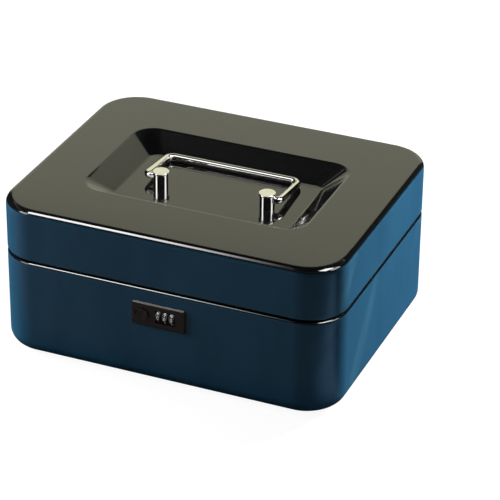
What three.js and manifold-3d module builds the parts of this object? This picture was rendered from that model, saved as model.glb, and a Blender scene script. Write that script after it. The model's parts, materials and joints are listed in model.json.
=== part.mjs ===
// A small steel lock box for medicines: a deep base, a hinged lid with a pressed recess, a folding
// wire handle that lies in the recess, and a three-dial combination lock in the front wall.
// Millimetres, +Z up, front towards -Y. The origin is the middle of the base's underside.

import * as THREE from "three";
import { mergeVertices } from "three/addons/utils/BufferGeometryUtils.js";
import Module from "manifold-3d";

const wasm = await Module();
wasm.setup();

// General
const sheet = 0.8; // steel of both shells and of the hinge leaves
const looseGap = 0.3; // round a piece that turns or slides in another
const slideGap = 0.2; // between flat faces that slide along each other
const cutOverrun = 1; // how far a cutting solid runs past the face it cuts
const weld = 0.0001; // points closer than this are one

// Whole box
const bodyWidth = 200;
const bodyDepth = 160;
const bodyHeight = 90; // floor to the top of the lid's rim
const bodyCornerRadius = 23;

// Base shell
const baseHeight = 58.2; // floor to the top of the shoulder
const baseBottomRadius = 8;
const shoulderRadius = 2;
const lipClearance = 0.7; // between the lip and the lid's hem
const lipHeight = 7.3; // above the shoulder

// Lid shell
const seamGap = 1.2; // between the base's shoulder and the lid's lower edge
const lidTopRadius = 4;
const hemDepth = 2.4; // the folded lower edge, across
const hemHeight = 6;
const hemRadius = 1;

// Recess in the lid
const recessSideMargin = 34; // from the box's side to the recess's rim
const recessEndMargin = 38.4; // from the box's front or back to the recess's rim
const recessDepth = 9;
const recessSlope = THREE.MathUtils.degToRad(40);
const recessEdgeRadius = 3;
const recessRimCornerRadius = 13;
const recessFloorCornerRadius = 6;

// Ends of an arc in a section, in quarter turns: the inset grows inwards and z upwards
const UP = 1;
const OUT = 2;
const DOWN = 3;
const IN = 4;

// Smoothness
const cornerSteps = 8; // of each corner of a shell, seen from above
const edgeSteps = 4; // of a large rounded edge
const smallEdgeSteps = 3; // of a small one
const roundSides = 24; // of a cylinder that shows
const innerSides = 16; // of a cylinder inside the lock or a hinge
const nutSides = 6;

// Hinges, one near each back corner
const hingeEndMargin = 27; // from the box's side to the hinge's outer end
const hingeLength = 36;
const hingePinRadius = 0.8;
const hingeBarrelWall = 1.1;
const hingeAxisOffset = 0.5; // behind the box's back face
const knuckleGap = 0.4;
const hingeClearance = 0.4; // round the barrel, in both shells
const baseLeafShare = 0.28; // of the height between the floor and the hinge's barrel
const lidLeafShare = 0.5; // of the height between the barrel and the lid's top

// Handle
const postSideMargin = 21; // from the end of the recess's floor to a post's middle
const postOffset = 6.2; // in front of the middle of the box
const postRadius = 4.3;
const postHeight = 8.8; // above the recess's floor
const postCapRadius = 4.8;
const postCapHeight = 1.3;
const postCapBevel = 0.35;
const studRadius = 1.5;
const studLength = 3.8; // below the recess's floor
const washerRadius = 4;
const washerHeight = 0.6;
const nutRadius = 3.2;
const nutHeight = 2;
const wireRadius = 2;
const wireSides = 12;
const pivotHeight = 5.2; // above the recess's floor
const bailArmOffset = 8; // from a post's middle out to the middle of an arm
const bailSideShift = -0.9; // the wire's side play, taken up to the left
const gripMargin = 3.9; // from the middle of the grip to the back of the recess's floor
const bailLegBend = 2.6; // radius, on the wire's middle line
const bailGripBend = 4.6;
const bailBendSteps = 5;
const bailLegEngagement = 3.6; // of a leg's end in its post

// Lock, measured from the front wall's outer face and the lock's middle height
const lockDrop = 15.2; // from the base's shoulder down to the middle of the lock
const bezelHalfWidth = 16;
const bezelHalfHeight = 7.15;
const bezelThickness = 1.2;
const bezelCornerRadius = 1.2;
const bezelBevel = 0.6;
const bezelPostRadius = 1.6;
const bezelPostInset = 2.8; // post's middle to the bezel's left or right edge
const bezelPostRise = 3.9; // post's middle above or below the lock's middle
const windowMargin = 0.4; // of the wall's window round the bezel's posts
const housingOverhang = 2; // past the bezel, to the left
const housingSpringRoom = 6; // past the bezel, to the right
const housingHalfHeight = 7.3;
const housingWall = 1.2;
const housingDepth = 8.2; // behind the front wall
const coverThickness = 1;
const lockScrewRadius = 0.75;
const lockScrewLength = 4;
const lockScrewHeadRadius = 1.9;
const lockScrewHeadHeight = 1.1;
const driveSlotWidth = 0.5;
const driveSlotDepth = 0.5;

// Dials
const dialCount = 3;
const digitCount = 10;
const dialPitch = 4;
const dialStart = 0; // lock's middle to the first dial's middle
const dialWidth = 3;
const dialFlatDistance = 4; // axis to a digit's flat
const dialProud = 0.9; // of the bezel's face
const dialGrooveDepth = 0.4;
const dialFlatShare = 0.72; // of a digit's angle that is flat
const dialWindowClearance = 0.3;
const sleeveRadius = 2.45;
const sleeveWall = 0.5;
const sleeveLength = 3.6;
const sleeveFlange = 0.7;
const sleeveRibWidth = 0.5;
const notchDepth = 0.3;
const notchShare = 0.5; // of a digit's angle that a notch in the dial's bore takes

// Code shaft, latch and button
const latchTravel = 2.6;
const shaftRadius = 0.75;
const finThickness = 0.6;
const finHeight = 0.9; // beyond the shaft
const finWidth = 0.8;
const finPlace = 0.2; // right of its dial's middle
const bearingThickness = 1;
const bearingGap = 0.5; // between a sleeve and the bearing beside it
const bearingClear = 1.2; // more, on the left, where the first fin travels
const sliderGap = 0.8; // between the slider and the left bearing
const sliderLength = 7;
const sliderBelow = 1.9; // below the lock's middle
const sliderAbove = 3;
const sliderArmWidth = 2.5;
const sliderArmDepth = 2.4;
const sliderArmInset = 0.4; // from the slider's right end
const latchTipLength = 2.8;
const latchTipHeight = 2.6;
const buttonRadius = 3.4;
const buttonHeight = 0.8;
const buttonDish = 0.35;
const buttonRim = 0.5;
const buttonPlace = 9.2; // left of the lock's middle
const buttonStemRadius = 1.5;
const shaftTail = 3.9; // beyond the right bearing
const springRadius = 0.75; // on the wire's middle line
const springWire = 0.15; // radius
const springTurns = 4;
const springTurnSteps = 12;
const springWireSides = 5;
const springPegRadius = 0.3;
const springPegShare = 0.6; // of the spring's length

// Detent spring and reset lever
const detentSheet = 0.3;
const detentFingerWidth = 1.6;
const detentClearance = 0.35; // finger's nose to the dials
const detentNoseHeight = 0.8;
const detentNoseDepth = 0.25;
const resetTravel = 2;
const resetStem = 1.6;
const resetKnobWidth = 3.2;
const resetKnobHeight = 3.2;
const resetKnobDepth = 1.2;
const resetPlace = 15; // right of the lock's middle
const resetDrop = 3.5; // below the lock's middle

// Catch on the lid, which the latch passes through
const catchSheet = 1;
const catchFlangeWidth = 12;
const catchFlangeShare = 0.6; // of the wall's height between the catch's foot and the lid's rounded top
const catchAboveLip = 1;
const catchBehindLip = 0.5;
const catchRim = 1.2; // round the window
const catchClearance = 0.6; // round the latch's tip, at front and back
const catchRise = 0.8; // above and below the tip
const catchGap = 0.5; // between the released tip and the catch

// Finishes
const bluePaint = finish(0x17364a, 0.32, 0.15);
const blackGloss = finish(0x15171a, 0.12, 0.1);
const chrome = finish(0xdedbd2, 0.12, 1);
const blackPlastic = finish(0x1c1b1d, 0.4, 0);
const dialPlastic = finish(0x121214, 0.45, 0);
const zincPlate = finish(0xb4b6b8, 0.35, 1);
const springSteel = finish(0x8f9296, 0.3, 1);
const brass = finish(0xb89a56, 0.35, 1);

function finish(color, roughness, metalness) {
  return new THREE.MeshStandardMaterial({ color, roughness, metalness });
}

// Places worked out from the sizes above
const lipInset = hemDepth + lipClearance;
const lipTop = baseHeight + lipHeight;
const lidBottom = baseHeight + seamGap;
const recessFloor = bodyHeight - recessDepth;
const recessRun =
  (recessDepth - 2 * recessEdgeRadius * (1 - Math.cos(recessSlope))) / Math.tan(recessSlope) +
  2 * recessEdgeRadius * Math.sin(recessSlope);
const postPlace = bodyWidth / 2 - recessSideMargin - recessRun - postSideMargin;
const bailHalfWidth = postPlace + bailArmOffset;
const bailReach = bodyDepth / 2 - recessEndMargin - recessRun + postOffset - gripMargin;
const lockHeight = baseHeight - lockDrop;
const wallInner = sheet; // behind the front wall's outer face
const housingBack = wallInner + housingDepth;
const housingLeft = -bezelHalfWidth - housingOverhang;
const housingRight = bezelHalfWidth + housingSpringRoom;
const dialRadius = dialFlatDistance / Math.cos((dialFlatShare * Math.PI) / digitCount);
const dialAxis = dialRadius - bezelThickness - dialProud; // behind the wall's outer face
const dialEnd = dialStart + dialPitch * (dialCount - 1);
const leftBearing = dialStart - sleeveLength / 2 - bearingGap - bearingClear;
const rightBearing = dialEnd + sleeveLength / 2 + bearingGap;
const sliderRight = leftBearing - bearingThickness - sliderGap;
const sliderLeft = sliderRight - sliderLength;
const sliderFront = wallInner + looseGap;
const sliderBack = housingBack - looseGap;
const armRight = sliderRight - sliderArmInset;
const armLeft = armRight - sliderArmWidth;
const armFront = sliderBack - sliderArmDepth;
const tipLeft = armLeft - latchTipLength;
const latchTop = baseHeight - lockHeight + hemHeight / 2 + seamGap + looseGap;
const shaftEnd = rightBearing + bearingThickness + shaftTail;
const bearingTop = bezelPostRise - bezelPostRadius - looseGap; // just under the bezel's right post
const boltPlaces = [
  { side: "left", x: -bezelHalfWidth + bezelPostInset, z: -bezelPostRise },
  { side: "right", x: bezelHalfWidth - bezelPostInset, z: bezelPostRise },
];
const lockWindowHalfWidth = bezelHalfWidth - bezelPostInset + bezelPostRadius + windowMargin;
const lockWindowHalfHeight = bezelPostRise + bezelPostRadius + windowMargin;
const barrelRadius = hingePinRadius + looseGap + hingeBarrelWall;
const hingeHeight = baseHeight + seamGap / 2;
const hingePlaces = [-1, 1].map((sign) => sign * (bodyWidth / 2 - hingeEndMargin - hingeLength / 2));
const baseLeafHeight = baseLeafShare * (hingeHeight - barrelRadius);
const lidLeafHeight = lidLeafShare * (bodyHeight - hingeHeight - barrelRadius);
const hingeDepth = bodyDepth / 2 + hingeAxisOffset;
const leafFace = -hingeAxisOffset - sheet; // the walls' inner face, from the hinge's axis

// A closed manifold solid from a three.js geometry, whichever way its faces were wound.
function solid(geometry) {
  const loose = geometry.index ? geometry.toNonIndexed() : geometry;
  const bare = new THREE.BufferGeometry().setAttribute("position", loose.getAttribute("position"));
  const merged = mergeVertices(bare, weld);
  const vertProperties = merged.attributes.position.array;
  const triVerts = new Uint32Array(merged.index.array);
  const made = new wasm.Manifold(new wasm.Mesh({ numProp: 3, vertProperties, triVerts }));
  if (made.volume() > 0) return made;
  for (let i = 0; i < triVerts.length; i += 3) {
    [triVerts[i], triVerts[i + 1]] = [triVerts[i + 1], triVerts[i]];
  }
  return new wasm.Manifold(new wasm.Mesh({ numProp: 3, vertProperties, triVerts }));
}

// A named mesh of a solid, added to a group.
function addPiece(group, name, made, material) {
  const { vertProperties, triVerts } = made.getMesh();
  const geometry = new THREE.BufferGeometry();
  geometry.setAttribute("position", new THREE.BufferAttribute(new Float32Array(vertProperties), 3));
  geometry.setIndex(new THREE.BufferAttribute(new Uint32Array(triVerts), 1));
  geometry.computeVertexNormals();
  const mesh = new THREE.Mesh(geometry, material);
  mesh.name = name;
  group.add(mesh);
  return mesh;
}

// A box between two values on each axis.
function slab(x0, x1, y0, y1, z0, z1) {
  const box = new THREE.BoxGeometry(x1 - x0, y1 - y0, z1 - z0);
  return solid(box.translate((x0 + x1) / 2, (y0 + y1) / 2, (z0 + z1) / 2));
}

// Cylinders along each axis, between two values on it and round a point of the other two.
function rodX(radius, x0, x1, y, z, sides = innerSides) {
  const rod = new THREE.CylinderGeometry(radius, radius, x1 - x0, sides);
  return solid(rod.rotateZ(-Math.PI / 2).translate((x0 + x1) / 2, y, z));
}

function rodY(radius, y0, y1, x, z, sides = innerSides) {
  const rod = new THREE.CylinderGeometry(radius, radius, y1 - y0, sides);
  return solid(rod.translate(x, (y0 + y1) / 2, z));
}

function rodZ(radius, z0, z1, x, y, sides = innerSides) {
  const rod = new THREE.CylinderGeometry(radius, radius, z1 - z0, sides);
  return solid(rod.rotateX(Math.PI / 2).translate(x, y, (z0 + z1) / 2));
}

// A prism along X of an outline given as points [y, z].
function prismX(outline, x0, x1) {
  const shape = new THREE.Shape(outline.map(([y, z]) => new THREE.Vector2(y, z)));
  const prism = new THREE.ExtrudeGeometry(shape, { depth: x1 - x0, bevelEnabled: false });
  const axes = [new THREE.Vector3(0, 1, 0), new THREE.Vector3(0, 0, 1), new THREE.Vector3(1, 0, 0)];
  return solid(prism.applyMatrix4(new THREE.Matrix4().makeBasis(...axes)).translate(x0, 0, 0));
}

// A turned piece round the Z axis, from its profile as points [radius, z].
function turned(profile, sides = roundSides) {
  const points = profile.map(([radius, z]) => new THREE.Vector2(radius, z));
  return solid(new THREE.LatheGeometry(points, sides).rotateX(Math.PI / 2));
}

// A skin through rounded rectangles, from the first, which closes it, to the last, which does too.
function ringLoft(rings) {
  const count = 4 * (cornerSteps + 1);
  const position = [];
  const index = [];
  for (const { halfX, halfY, radius, z } of rings) {
    for (let corner = 0; corner < 4; corner++) {
      const signX = corner === 0 || corner === 3 ? 1 : -1;
      const signY = corner < 2 ? 1 : -1;
      for (let step = 0; step <= cornerSteps; step++) {
        const turn = ((corner + step / cornerSteps) * Math.PI) / 2;
        const x = signX * (halfX - radius) + radius * Math.cos(turn);
        const y = signY * (halfY - radius) + radius * Math.sin(turn);
        position.push(x, y, z);
      }
    }
  }
  for (let ring = 0; ring < rings.length - 1; ring++) {
    for (let i = 0; i < count; i++) {
      const a = ring * count + i;
      const b = ring * count + ((i + 1) % count);
      index.push(a, b, b + count, a, b + count, a + count);
    }
  }
  const last = (rings.length - 1) * count;
  for (let i = 1; i < count - 1; i++) {
    index.push(0, i + 1, i);
    index.push(last, last + i, last + i + 1);
  }
  const skin = new THREE.BufferGeometry();
  skin.setAttribute("position", new THREE.Float32BufferAttribute(position, 3));
  skin.setIndex(index);
  return solid(skin);
}

// Points [inset, z] of an arc round a centre, both ends included, angles in quarter turns.
function arc(inset, z, radius, from, to, steps) {
  return Array.from({ length: steps + 1 }, (_, i) => {
    const turn = ((from + ((to - from) * i) / steps) * Math.PI) / 2;
    return [inset + radius * Math.cos(turn), z + radius * Math.sin(turn)];
  });
}

// The rectangle that lies inset from the box's outline.
function bodyRing([inset, z]) {
  const radius = bodyCornerRadius - inset;
  return { halfX: bodyWidth / 2 - inset, halfY: bodyDepth / 2 - inset, radius, z };
}

// The rectangle that lies inset from the recess's rim.
function recessRing([inset, z]) {
  const narrowing = (recessFloorCornerRadius - recessRimCornerRadius) / recessRun;
  return {
    halfX: bodyWidth / 2 - recessSideMargin - inset,
    halfY: bodyDepth / 2 - recessEndMargin - inset,
    radius: recessRimCornerRadius + narrowing * inset,
    z,
  };
}

// A round wire through stations that each hold a place, its direction and one side direction.
function wire(stations, radius, sides) {
  const position = [];
  const index = [];
  for (const { at, along, side } of stations) {
    const other = new THREE.Vector3().crossVectors(along, side);
    for (let i = 0; i < sides; i++) {
      const turn = (2 * Math.PI * i) / sides;
      const point = at.clone().addScaledVector(side, radius * Math.cos(turn));
      position.push(...point.addScaledVector(other, radius * Math.sin(turn)));
    }
  }
  for (let ring = 0; ring < stations.length - 1; ring++) {
    for (let i = 0; i < sides; i++) {
      const a = ring * sides + i;
      const b = ring * sides + ((i + 1) % sides);
      index.push(a, b, b + sides, a, b + sides, a + sides);
    }
  }
  const last = (stations.length - 1) * sides;
  for (let i = 1; i < sides - 1; i++) {
    index.push(0, i + 1, i);
    index.push(last, last + i, last + i + 1);
  }
  const skin = new THREE.BufferGeometry();
  skin.setAttribute("position", new THREE.Float32BufferAttribute(position, 3));
  skin.setIndex(index);
  return solid(skin);
}

// Base: one drawn shell with a rounded foot, a shoulder under the lid and a lip inside the lid.
function baseShell() {
  const foot = [baseBottomRadius, baseBottomRadius];
  const shoulder = [shoulderRadius, baseHeight - shoulderRadius];
  const section = [
    ...arc(...foot, baseBottomRadius, DOWN, OUT, edgeSteps),
    ...arc(...shoulder, shoulderRadius, OUT, UP, smallEdgeSteps),
    [lipInset, baseHeight],
    [lipInset, lipTop],
    [lipInset + sheet, lipTop],
    [lipInset + sheet, baseHeight - sheet],
    ...arc(...shoulder, shoulderRadius - sheet, UP, OUT, smallEdgeSteps),
    ...arc(...foot, baseBottomRadius - sheet, OUT, DOWN, edgeSteps),
  ];
  let shell = ringLoft(section.map(bodyRing));
  const lockWindow = slab(
    -lockWindowHalfWidth,
    lockWindowHalfWidth,
    -bodyDepth / 2 - cutOverrun,
    -bodyDepth / 2 + sheet + cutOverrun,
    lockHeight - lockWindowHalfHeight,
    lockHeight + lockWindowHalfHeight,
  );
  shell = shell.subtract(lockWindow);
  for (const x of hingePlaces) {
    const notch = slab(
      x - hingeLength / 2 - looseGap,
      x + hingeLength / 2 + looseGap,
      hingeDepth - barrelRadius - hingeClearance,
      bodyDepth / 2 + cutOverrun,
      hingeHeight - barrelRadius - hingeClearance,
      baseHeight + cutOverrun,
    );
    shell = shell.subtract(notch);
  }
  return shell;
}

// Lid: the same outline, with a hem folded inwards and the recess pressed into its top.
function lidShell() {
  const slope = recessSlope / (Math.PI / 2);
  const topCentre = [lidTopRadius, bodyHeight - lidTopRadius];
  const hemTop = lidBottom + hemHeight;
  const outerWall = [
    ...arc(hemDepth - hemRadius, lidBottom + hemRadius, hemRadius, IN, DOWN, smallEdgeSteps),
    ...arc(hemRadius, lidBottom + hemRadius, hemRadius, DOWN, OUT, smallEdgeSteps),
    ...arc(...topCentre, lidTopRadius, OUT, UP, edgeSteps),
  ];
  const innerWall = [
    ...arc(...topCentre, lidTopRadius - sheet, UP, OUT, smallEdgeSteps),
    [sheet, hemTop],
    [hemDepth, hemTop],
  ];
  const rimCentre = [0, bodyHeight - recessEdgeRadius];
  const floorCentre = [recessRun, recessFloor + recessEdgeRadius];
  const underside = [
    ...arc(...floorCentre, recessEdgeRadius + sheet, DOWN, DOWN - slope, smallEdgeSteps),
    ...arc(...rimCentre, recessEdgeRadius - sheet, UP - slope, UP, smallEdgeSteps),
  ];
  const topside = [
    ...arc(...rimCentre, recessEdgeRadius, UP, UP - slope, smallEdgeSteps),
    ...arc(...floorCentre, recessEdgeRadius, DOWN - slope, DOWN, smallEdgeSteps),
  ];
  let shell = ringLoft([
    ...underside.map(recessRing),
    ...innerWall.map(bodyRing),
    ...outerWall.map(bodyRing),
    ...topside.map(recessRing),
  ]);
  for (const x of [-postPlace, postPlace]) {
    const hole = rodZ(
      studRadius + looseGap,
      recessFloor - sheet - cutOverrun,
      recessFloor + cutOverrun,
      x,
      -postOffset,
    );
    shell = shell.subtract(hole);
  }
  for (const x of hingePlaces) {
    const left = x - hingeLength / 2 - looseGap;
    const right = x + hingeLength / 2 + looseGap;
    const barrelTop = hingeHeight + barrelRadius + hingeClearance;
    const hemFront = bodyDepth / 2 - hemDepth - cutOverrun;
    const back = bodyDepth / 2 + cutOverrun;
    const notch = slab(left, right, hemFront, back, lidBottom - cutOverrun, barrelTop);
    const relief = slab(left, right, hemFront, bodyDepth / 2 - sheet, barrelTop, hemTop + cutOverrun);
    shell = shell.subtract(notch).subtract(relief);
  }
  return shell;
}

// Hinge leaves and pins, round a group whose origin is the hinge's axis.
function knuckle(x0, x1) {
  const barrel = rodX(barrelRadius, x0, x1, 0, 0, roundSides);
  const bore = rodX(hingePinRadius + looseGap, x0 - cutOverrun, x1 + cutOverrun, 0, 0);
  return barrel.subtract(bore);
}

function hingeLeaf(knuckles, direction, height) {
  const strapOuter = direction * barrelRadius;
  const strapInner = direction * (barrelRadius - sheet);
  const plateStart = direction * (barrelRadius + looseGap);
  const plateEnd = direction * (barrelRadius + height);
  const neckEnd = (plateStart + plateEnd) / 2;
  const upDown = (a, b) => [Math.min(a, b), Math.max(a, b)];
  const half = hingeLength / 2;
  let leaf = slab(-half, half, leafFace - sheet, leafFace, ...upDown(plateStart, plateEnd));
  for (const [x0, x1] of knuckles) {
    const strap = slab(x0, x1, leafFace - sheet, 0, ...upDown(strapInner, strapOuter));
    const neck = slab(x0, x1, leafFace - sheet, leafFace, ...upDown(strapInner, neckEnd));
    leaf = leaf.add(knuckle(x0, x1)).add(strap).add(neck);
  }
  return leaf;
}

function addHinge(group, side, x) {
  const hinge = new THREE.Group();
  hinge.position.set(x, hingeDepth, hingeHeight);
  group.add(hinge);
  const sixth = hingeLength / 6;
  const half = hingeLength / 2;
  const outerKnuckles = [
    [-half, -sixth - knuckleGap / 2],
    [sixth + knuckleGap / 2, half],
  ];
  const middleKnuckle = [[-sixth + knuckleGap / 2, sixth - knuckleGap / 2]];
  addPiece(hinge, `hinge_base_leaf_${side}`, hingeLeaf(outerKnuckles, -1, baseLeafHeight), zincPlate);
  addPiece(hinge, `hinge_lid_leaf_${side}`, hingeLeaf(middleKnuckle, 1, lidLeafHeight), zincPlate);
  addPiece(hinge, `hinge_pin_${side}`, rodX(hingePinRadius, -half, half, 0, 0), springSteel);
}

// Handle: two posts on the recess's floor, each held from below, and the wire that turns in them.
function handlePost(outward) {
  const capStart = postHeight - postCapHeight;
  const post = turned([
    [0, -studLength],
    [studRadius, -studLength],
    [studRadius, 0],
    [postRadius, 0],
    [postRadius, capStart],
    [postCapRadius, capStart],
    [postCapRadius, postHeight - postCapBevel],
    [postCapRadius - postCapBevel, postHeight],
    [0, postHeight],
  ]);
  const outerEnd = outward * (postRadius + cutOverrun);
  const innerEnd = outward * (postRadius - bailLegEngagement - wireRadius);
  const ends = [Math.min(outerEnd, innerEnd), Math.max(outerEnd, innerEnd)];
  return post.subtract(rodX(wireRadius + looseGap, ...ends, 0, pivotHeight, roundSides));
}

// The wire's middle line in the plane of X and its reach, from the right leg's end to the left's.
function bailLine() {
  const legEnd = postPlace + postRadius - bailLegEngagement;
  const half = [{ x: legEnd, y: 0 }];
  for (let i = 0; i <= bailBendSteps; i++) {
    const turn = ((i / bailBendSteps) * Math.PI) / 2;
    const x = bailHalfWidth - bailLegBend + bailLegBend * Math.sin(turn);
    half.push({ x, y: bailLegBend * (1 - Math.cos(turn)) });
  }
  for (let i = 0; i <= bailBendSteps; i++) {
    const turn = ((1 + i / bailBendSteps) * Math.PI) / 2;
    const x = bailHalfWidth - bailGripBend * (1 - Math.sin(turn));
    half.push({ x, y: bailReach - bailGripBend - bailGripBend * Math.cos(turn) });
  }
  const mirrored = half.map(({ x, y }) => ({ x: -x, y }));
  return [...half, ...mirrored.reverse()];
}

function bailHandle() {
  const side = new THREE.Vector3(0, 0, 1);
  const line = bailLine();
  const stations = line.map(({ x, y }, i) => {
    const before = line[Math.max(i - 1, 0)];
    const after = line[Math.min(i + 1, line.length - 1)];
    const along = new THREE.Vector3(after.x - before.x, after.y - before.y, 0).normalize();
    return { at: new THREE.Vector3(x, y, 0), along, side };
  });
  return wire(stations, wireRadius, wireSides);
}

function addHandle(group) {
  const handle = new THREE.Group();
  handle.position.set(0, -postOffset, recessFloor);
  group.add(handle);
  const nutTop = -sheet - washerHeight;
  for (const [side, outward] of [["left", -1], ["right", 1]]) {
    const at = new THREE.Group();
    at.position.x = outward * postPlace;
    handle.add(at);
    const hole = rodZ(studRadius + looseGap, -studLength - cutOverrun, 0, 0, 0);
    const washer = rodZ(washerRadius, nutTop, -sheet, 0, 0, roundSides).subtract(hole);
    const nut = rodZ(nutRadius, nutTop - nutHeight, nutTop, 0, 0, nutSides).subtract(hole);
    addPiece(at, `handle_post_${side}`, handlePost(outward), chrome);
    addPiece(at, `handle_washer_${side}`, washer, zincPlate);
    addPiece(at, `handle_nut_${side}`, nut, zincPlate);
  }
  const bail = addPiece(handle, "bail_handle", bailHandle(), chrome);
  bail.position.set(bailSideShift, 0, pivotHeight);
  bail.rotation.x = -Math.asin((pivotHeight - wireRadius - looseGap) / bailReach);
}

// Lock
function bezel() {
  const plate = (inset, z) => ({
    halfX: bezelHalfWidth - inset,
    halfY: bezelHalfHeight - inset,
    radius: bezelCornerRadius - inset,
    z,
  });
  const front = ringLoft([
    plate(0, 0),
    plate(0, bezelThickness - bezelBevel),
    plate(bezelBevel, bezelThickness),
  ]);
  let made = front.rotate([90, 0, 0]);
  for (const { x, z } of boltPlaces) {
    const holeEnds = [housingBack - lockScrewLength, housingBack + cutOverrun];
    const hole = rodY(lockScrewRadius + looseGap, ...holeEnds, x, z);
    const post = rodY(bezelPostRadius, -bezelThickness / 2, housingBack, x, z, roundSides);
    made = made.add(post).subtract(hole);
  }
  const windowHalfHeight = Math.sqrt(dialRadius ** 2 - dialAxis ** 2) + dialWindowClearance;
  for (let i = 0; i < dialCount; i++) {
    const x = dialStart + i * dialPitch;
    const halfWidth = dialWidth / 2 + dialWindowClearance;
    const dialWindow = slab(
      x - halfWidth,
      x + halfWidth,
      -bezelThickness - cutOverrun,
      cutOverrun,
      -windowHalfHeight,
      windowHalfHeight,
    );
    made = made.subtract(dialWindow);
  }
  const stem = buttonStemRadius + looseGap;
  const left = -buttonPlace - latchTravel;
  const slot = slab(left, -buttonPlace, -bezelThickness - cutOverrun, cutOverrun, -stem, stem);
  const ends = [left, -buttonPlace].map((x) =>
    rodY(stem, -bezelThickness - cutOverrun, cutOverrun, x, 0, roundSides),
  );
  return made.subtract(slot).subtract(ends[0]).subtract(ends[1]);
}

function housing() {
  const outer = slab(
    housingLeft,
    housingRight,
    wallInner,
    housingBack,
    -housingHalfHeight,
    housingHalfHeight,
  );
  const innerRight = housingRight - housingWall;
  const innerHeight = housingHalfHeight - housingWall;
  const room = slab(
    housingLeft + housingWall,
    innerRight,
    wallInner - cutOverrun,
    housingBack + cutOverrun,
    -innerHeight,
    innerHeight,
  );
  let made = outer.subtract(room);
  for (const x of [leftBearing - bearingThickness, rightBearing]) {
    const bore = shaftRadius + looseGap;
    const x1 = x + bearingThickness;
    const plate = slab(x, x1, wallInner, housingBack, -housingHalfHeight, bearingTop);
    const groove = slab(x - cutOverrun, x1 + cutOverrun, 0, dialAxis, -bore, bore);
    const seat = rodX(bore, x - cutOverrun, x1 + cutOverrun, dialAxis, 0);
    made = made.add(plate.subtract(groove).subtract(seat));
  }
  const pegStart = innerRight - springPegShare * (innerRight - shaftEnd);
  made = made.add(rodX(springPegRadius, pegStart, housingRight - housingWall / 2, dialAxis, 0));
  const armSlot = slab(
    armLeft - latchTravel - looseGap,
    armRight + looseGap,
    armFront - looseGap,
    housingBack + cutOverrun,
    innerHeight - cutOverrun,
    housingHalfHeight + cutOverrun,
  );
  return made.subtract(armSlot);
}

function resetSlotHalf() {
  return resetStem / 2 + looseGap;
}

function backCover() {
  const coverBack = housingBack + coverThickness;
  let made = slab(
    housingLeft,
    housingRight,
    housingBack,
    coverBack,
    -housingHalfHeight,
    housingHalfHeight,
  );
  for (const { x, z } of boltPlaces) {
    const hole = lockScrewRadius + looseGap;
    made = made.subtract(rodY(hole, housingBack - cutOverrun, coverBack + cutOverrun, x, z));
  }
  const slot = slab(
    resetPlace - resetSlotHalf(),
    resetPlace + resetTravel + resetSlotHalf(),
    housingBack - cutOverrun,
    coverBack + cutOverrun,
    -resetDrop - resetSlotHalf(),
    -resetDrop + resetSlotHalf(),
  );
  return made.subtract(slot);
}

function lockScrew() {
  const coverBack = housingBack + coverThickness;
  const screwEnd = coverBack - lockScrewLength;
  const headEnd = coverBack + lockScrewHeadHeight;
  const shank = rodY(lockScrewRadius, screwEnd, (coverBack + headEnd) / 2, 0, 0);
  const head = rodY(lockScrewHeadRadius, coverBack, headEnd, 0, 0, roundSides);
  const slotHalf = driveSlotWidth / 2;
  const reach = lockScrewHeadRadius + cutOverrun;
  const driveSlot = slab(-reach, reach, headEnd - driveSlotDepth, headEnd + cutOverrun, -slotHalf, slotHalf);
  return shank.add(head).subtract(driveSlot);
}

function resetLever() {
  const coverBack = housingBack + coverThickness;
  const halfX = resetKnobWidth / 2;
  const halfZ = resetKnobHeight / 2;
  const half = resetStem / 2;
  const knobStart = coverBack + slideGap;
  const knobEnd = knobStart + resetKnobDepth;
  const tongueEnd = housingBack - slideGap;
  const tongueStart = tongueEnd - resetKnobDepth;
  const knob = slab(-halfX, halfX, knobStart, knobEnd, -halfZ, halfZ);
  const stem = slab(-half, half, (tongueStart + tongueEnd) / 2, (knobStart + knobEnd) / 2, -half, half);
  const tongue = slab(-halfX, halfX, tongueStart, tongueEnd, -halfZ, halfZ);
  return knob.add(stem).add(tongue);
}

// Points round the X axis at [radius, digit angles from the front], as [y, z] points.
function aroundDial(radius, digits) {
  const turn = (digits * 2 * Math.PI) / digitCount;
  return [-radius * Math.cos(turn), radius * Math.sin(turn)];
}

function dial() {
  const outline = [];
  const bore = [];
  const boreRadius = sleeveRadius + looseGap;
  for (let digit = 0; digit < digitCount; digit++) {
    outline.push(aroundDial(dialRadius, digit - dialFlatShare / 2));
    outline.push(aroundDial(dialRadius, digit + dialFlatShare / 2));
    outline.push(aroundDial(dialFlatDistance - dialGrooveDepth, digit + 1 / 2));
    bore.push(aroundDial(boreRadius + notchDepth, digit - notchShare / 2));
    bore.push(aroundDial(boreRadius + notchDepth, digit + notchShare / 2));
    bore.push(aroundDial(boreRadius, digit + notchShare / 2));
    bore.push(aroundDial(boreRadius, digit + 1 - notchShare / 2));
  }
  const half = dialWidth / 2;
  return prismX(outline, -half, half).subtract(prismX(bore, -half - cutOverrun, half + cutOverrun));
}

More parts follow.
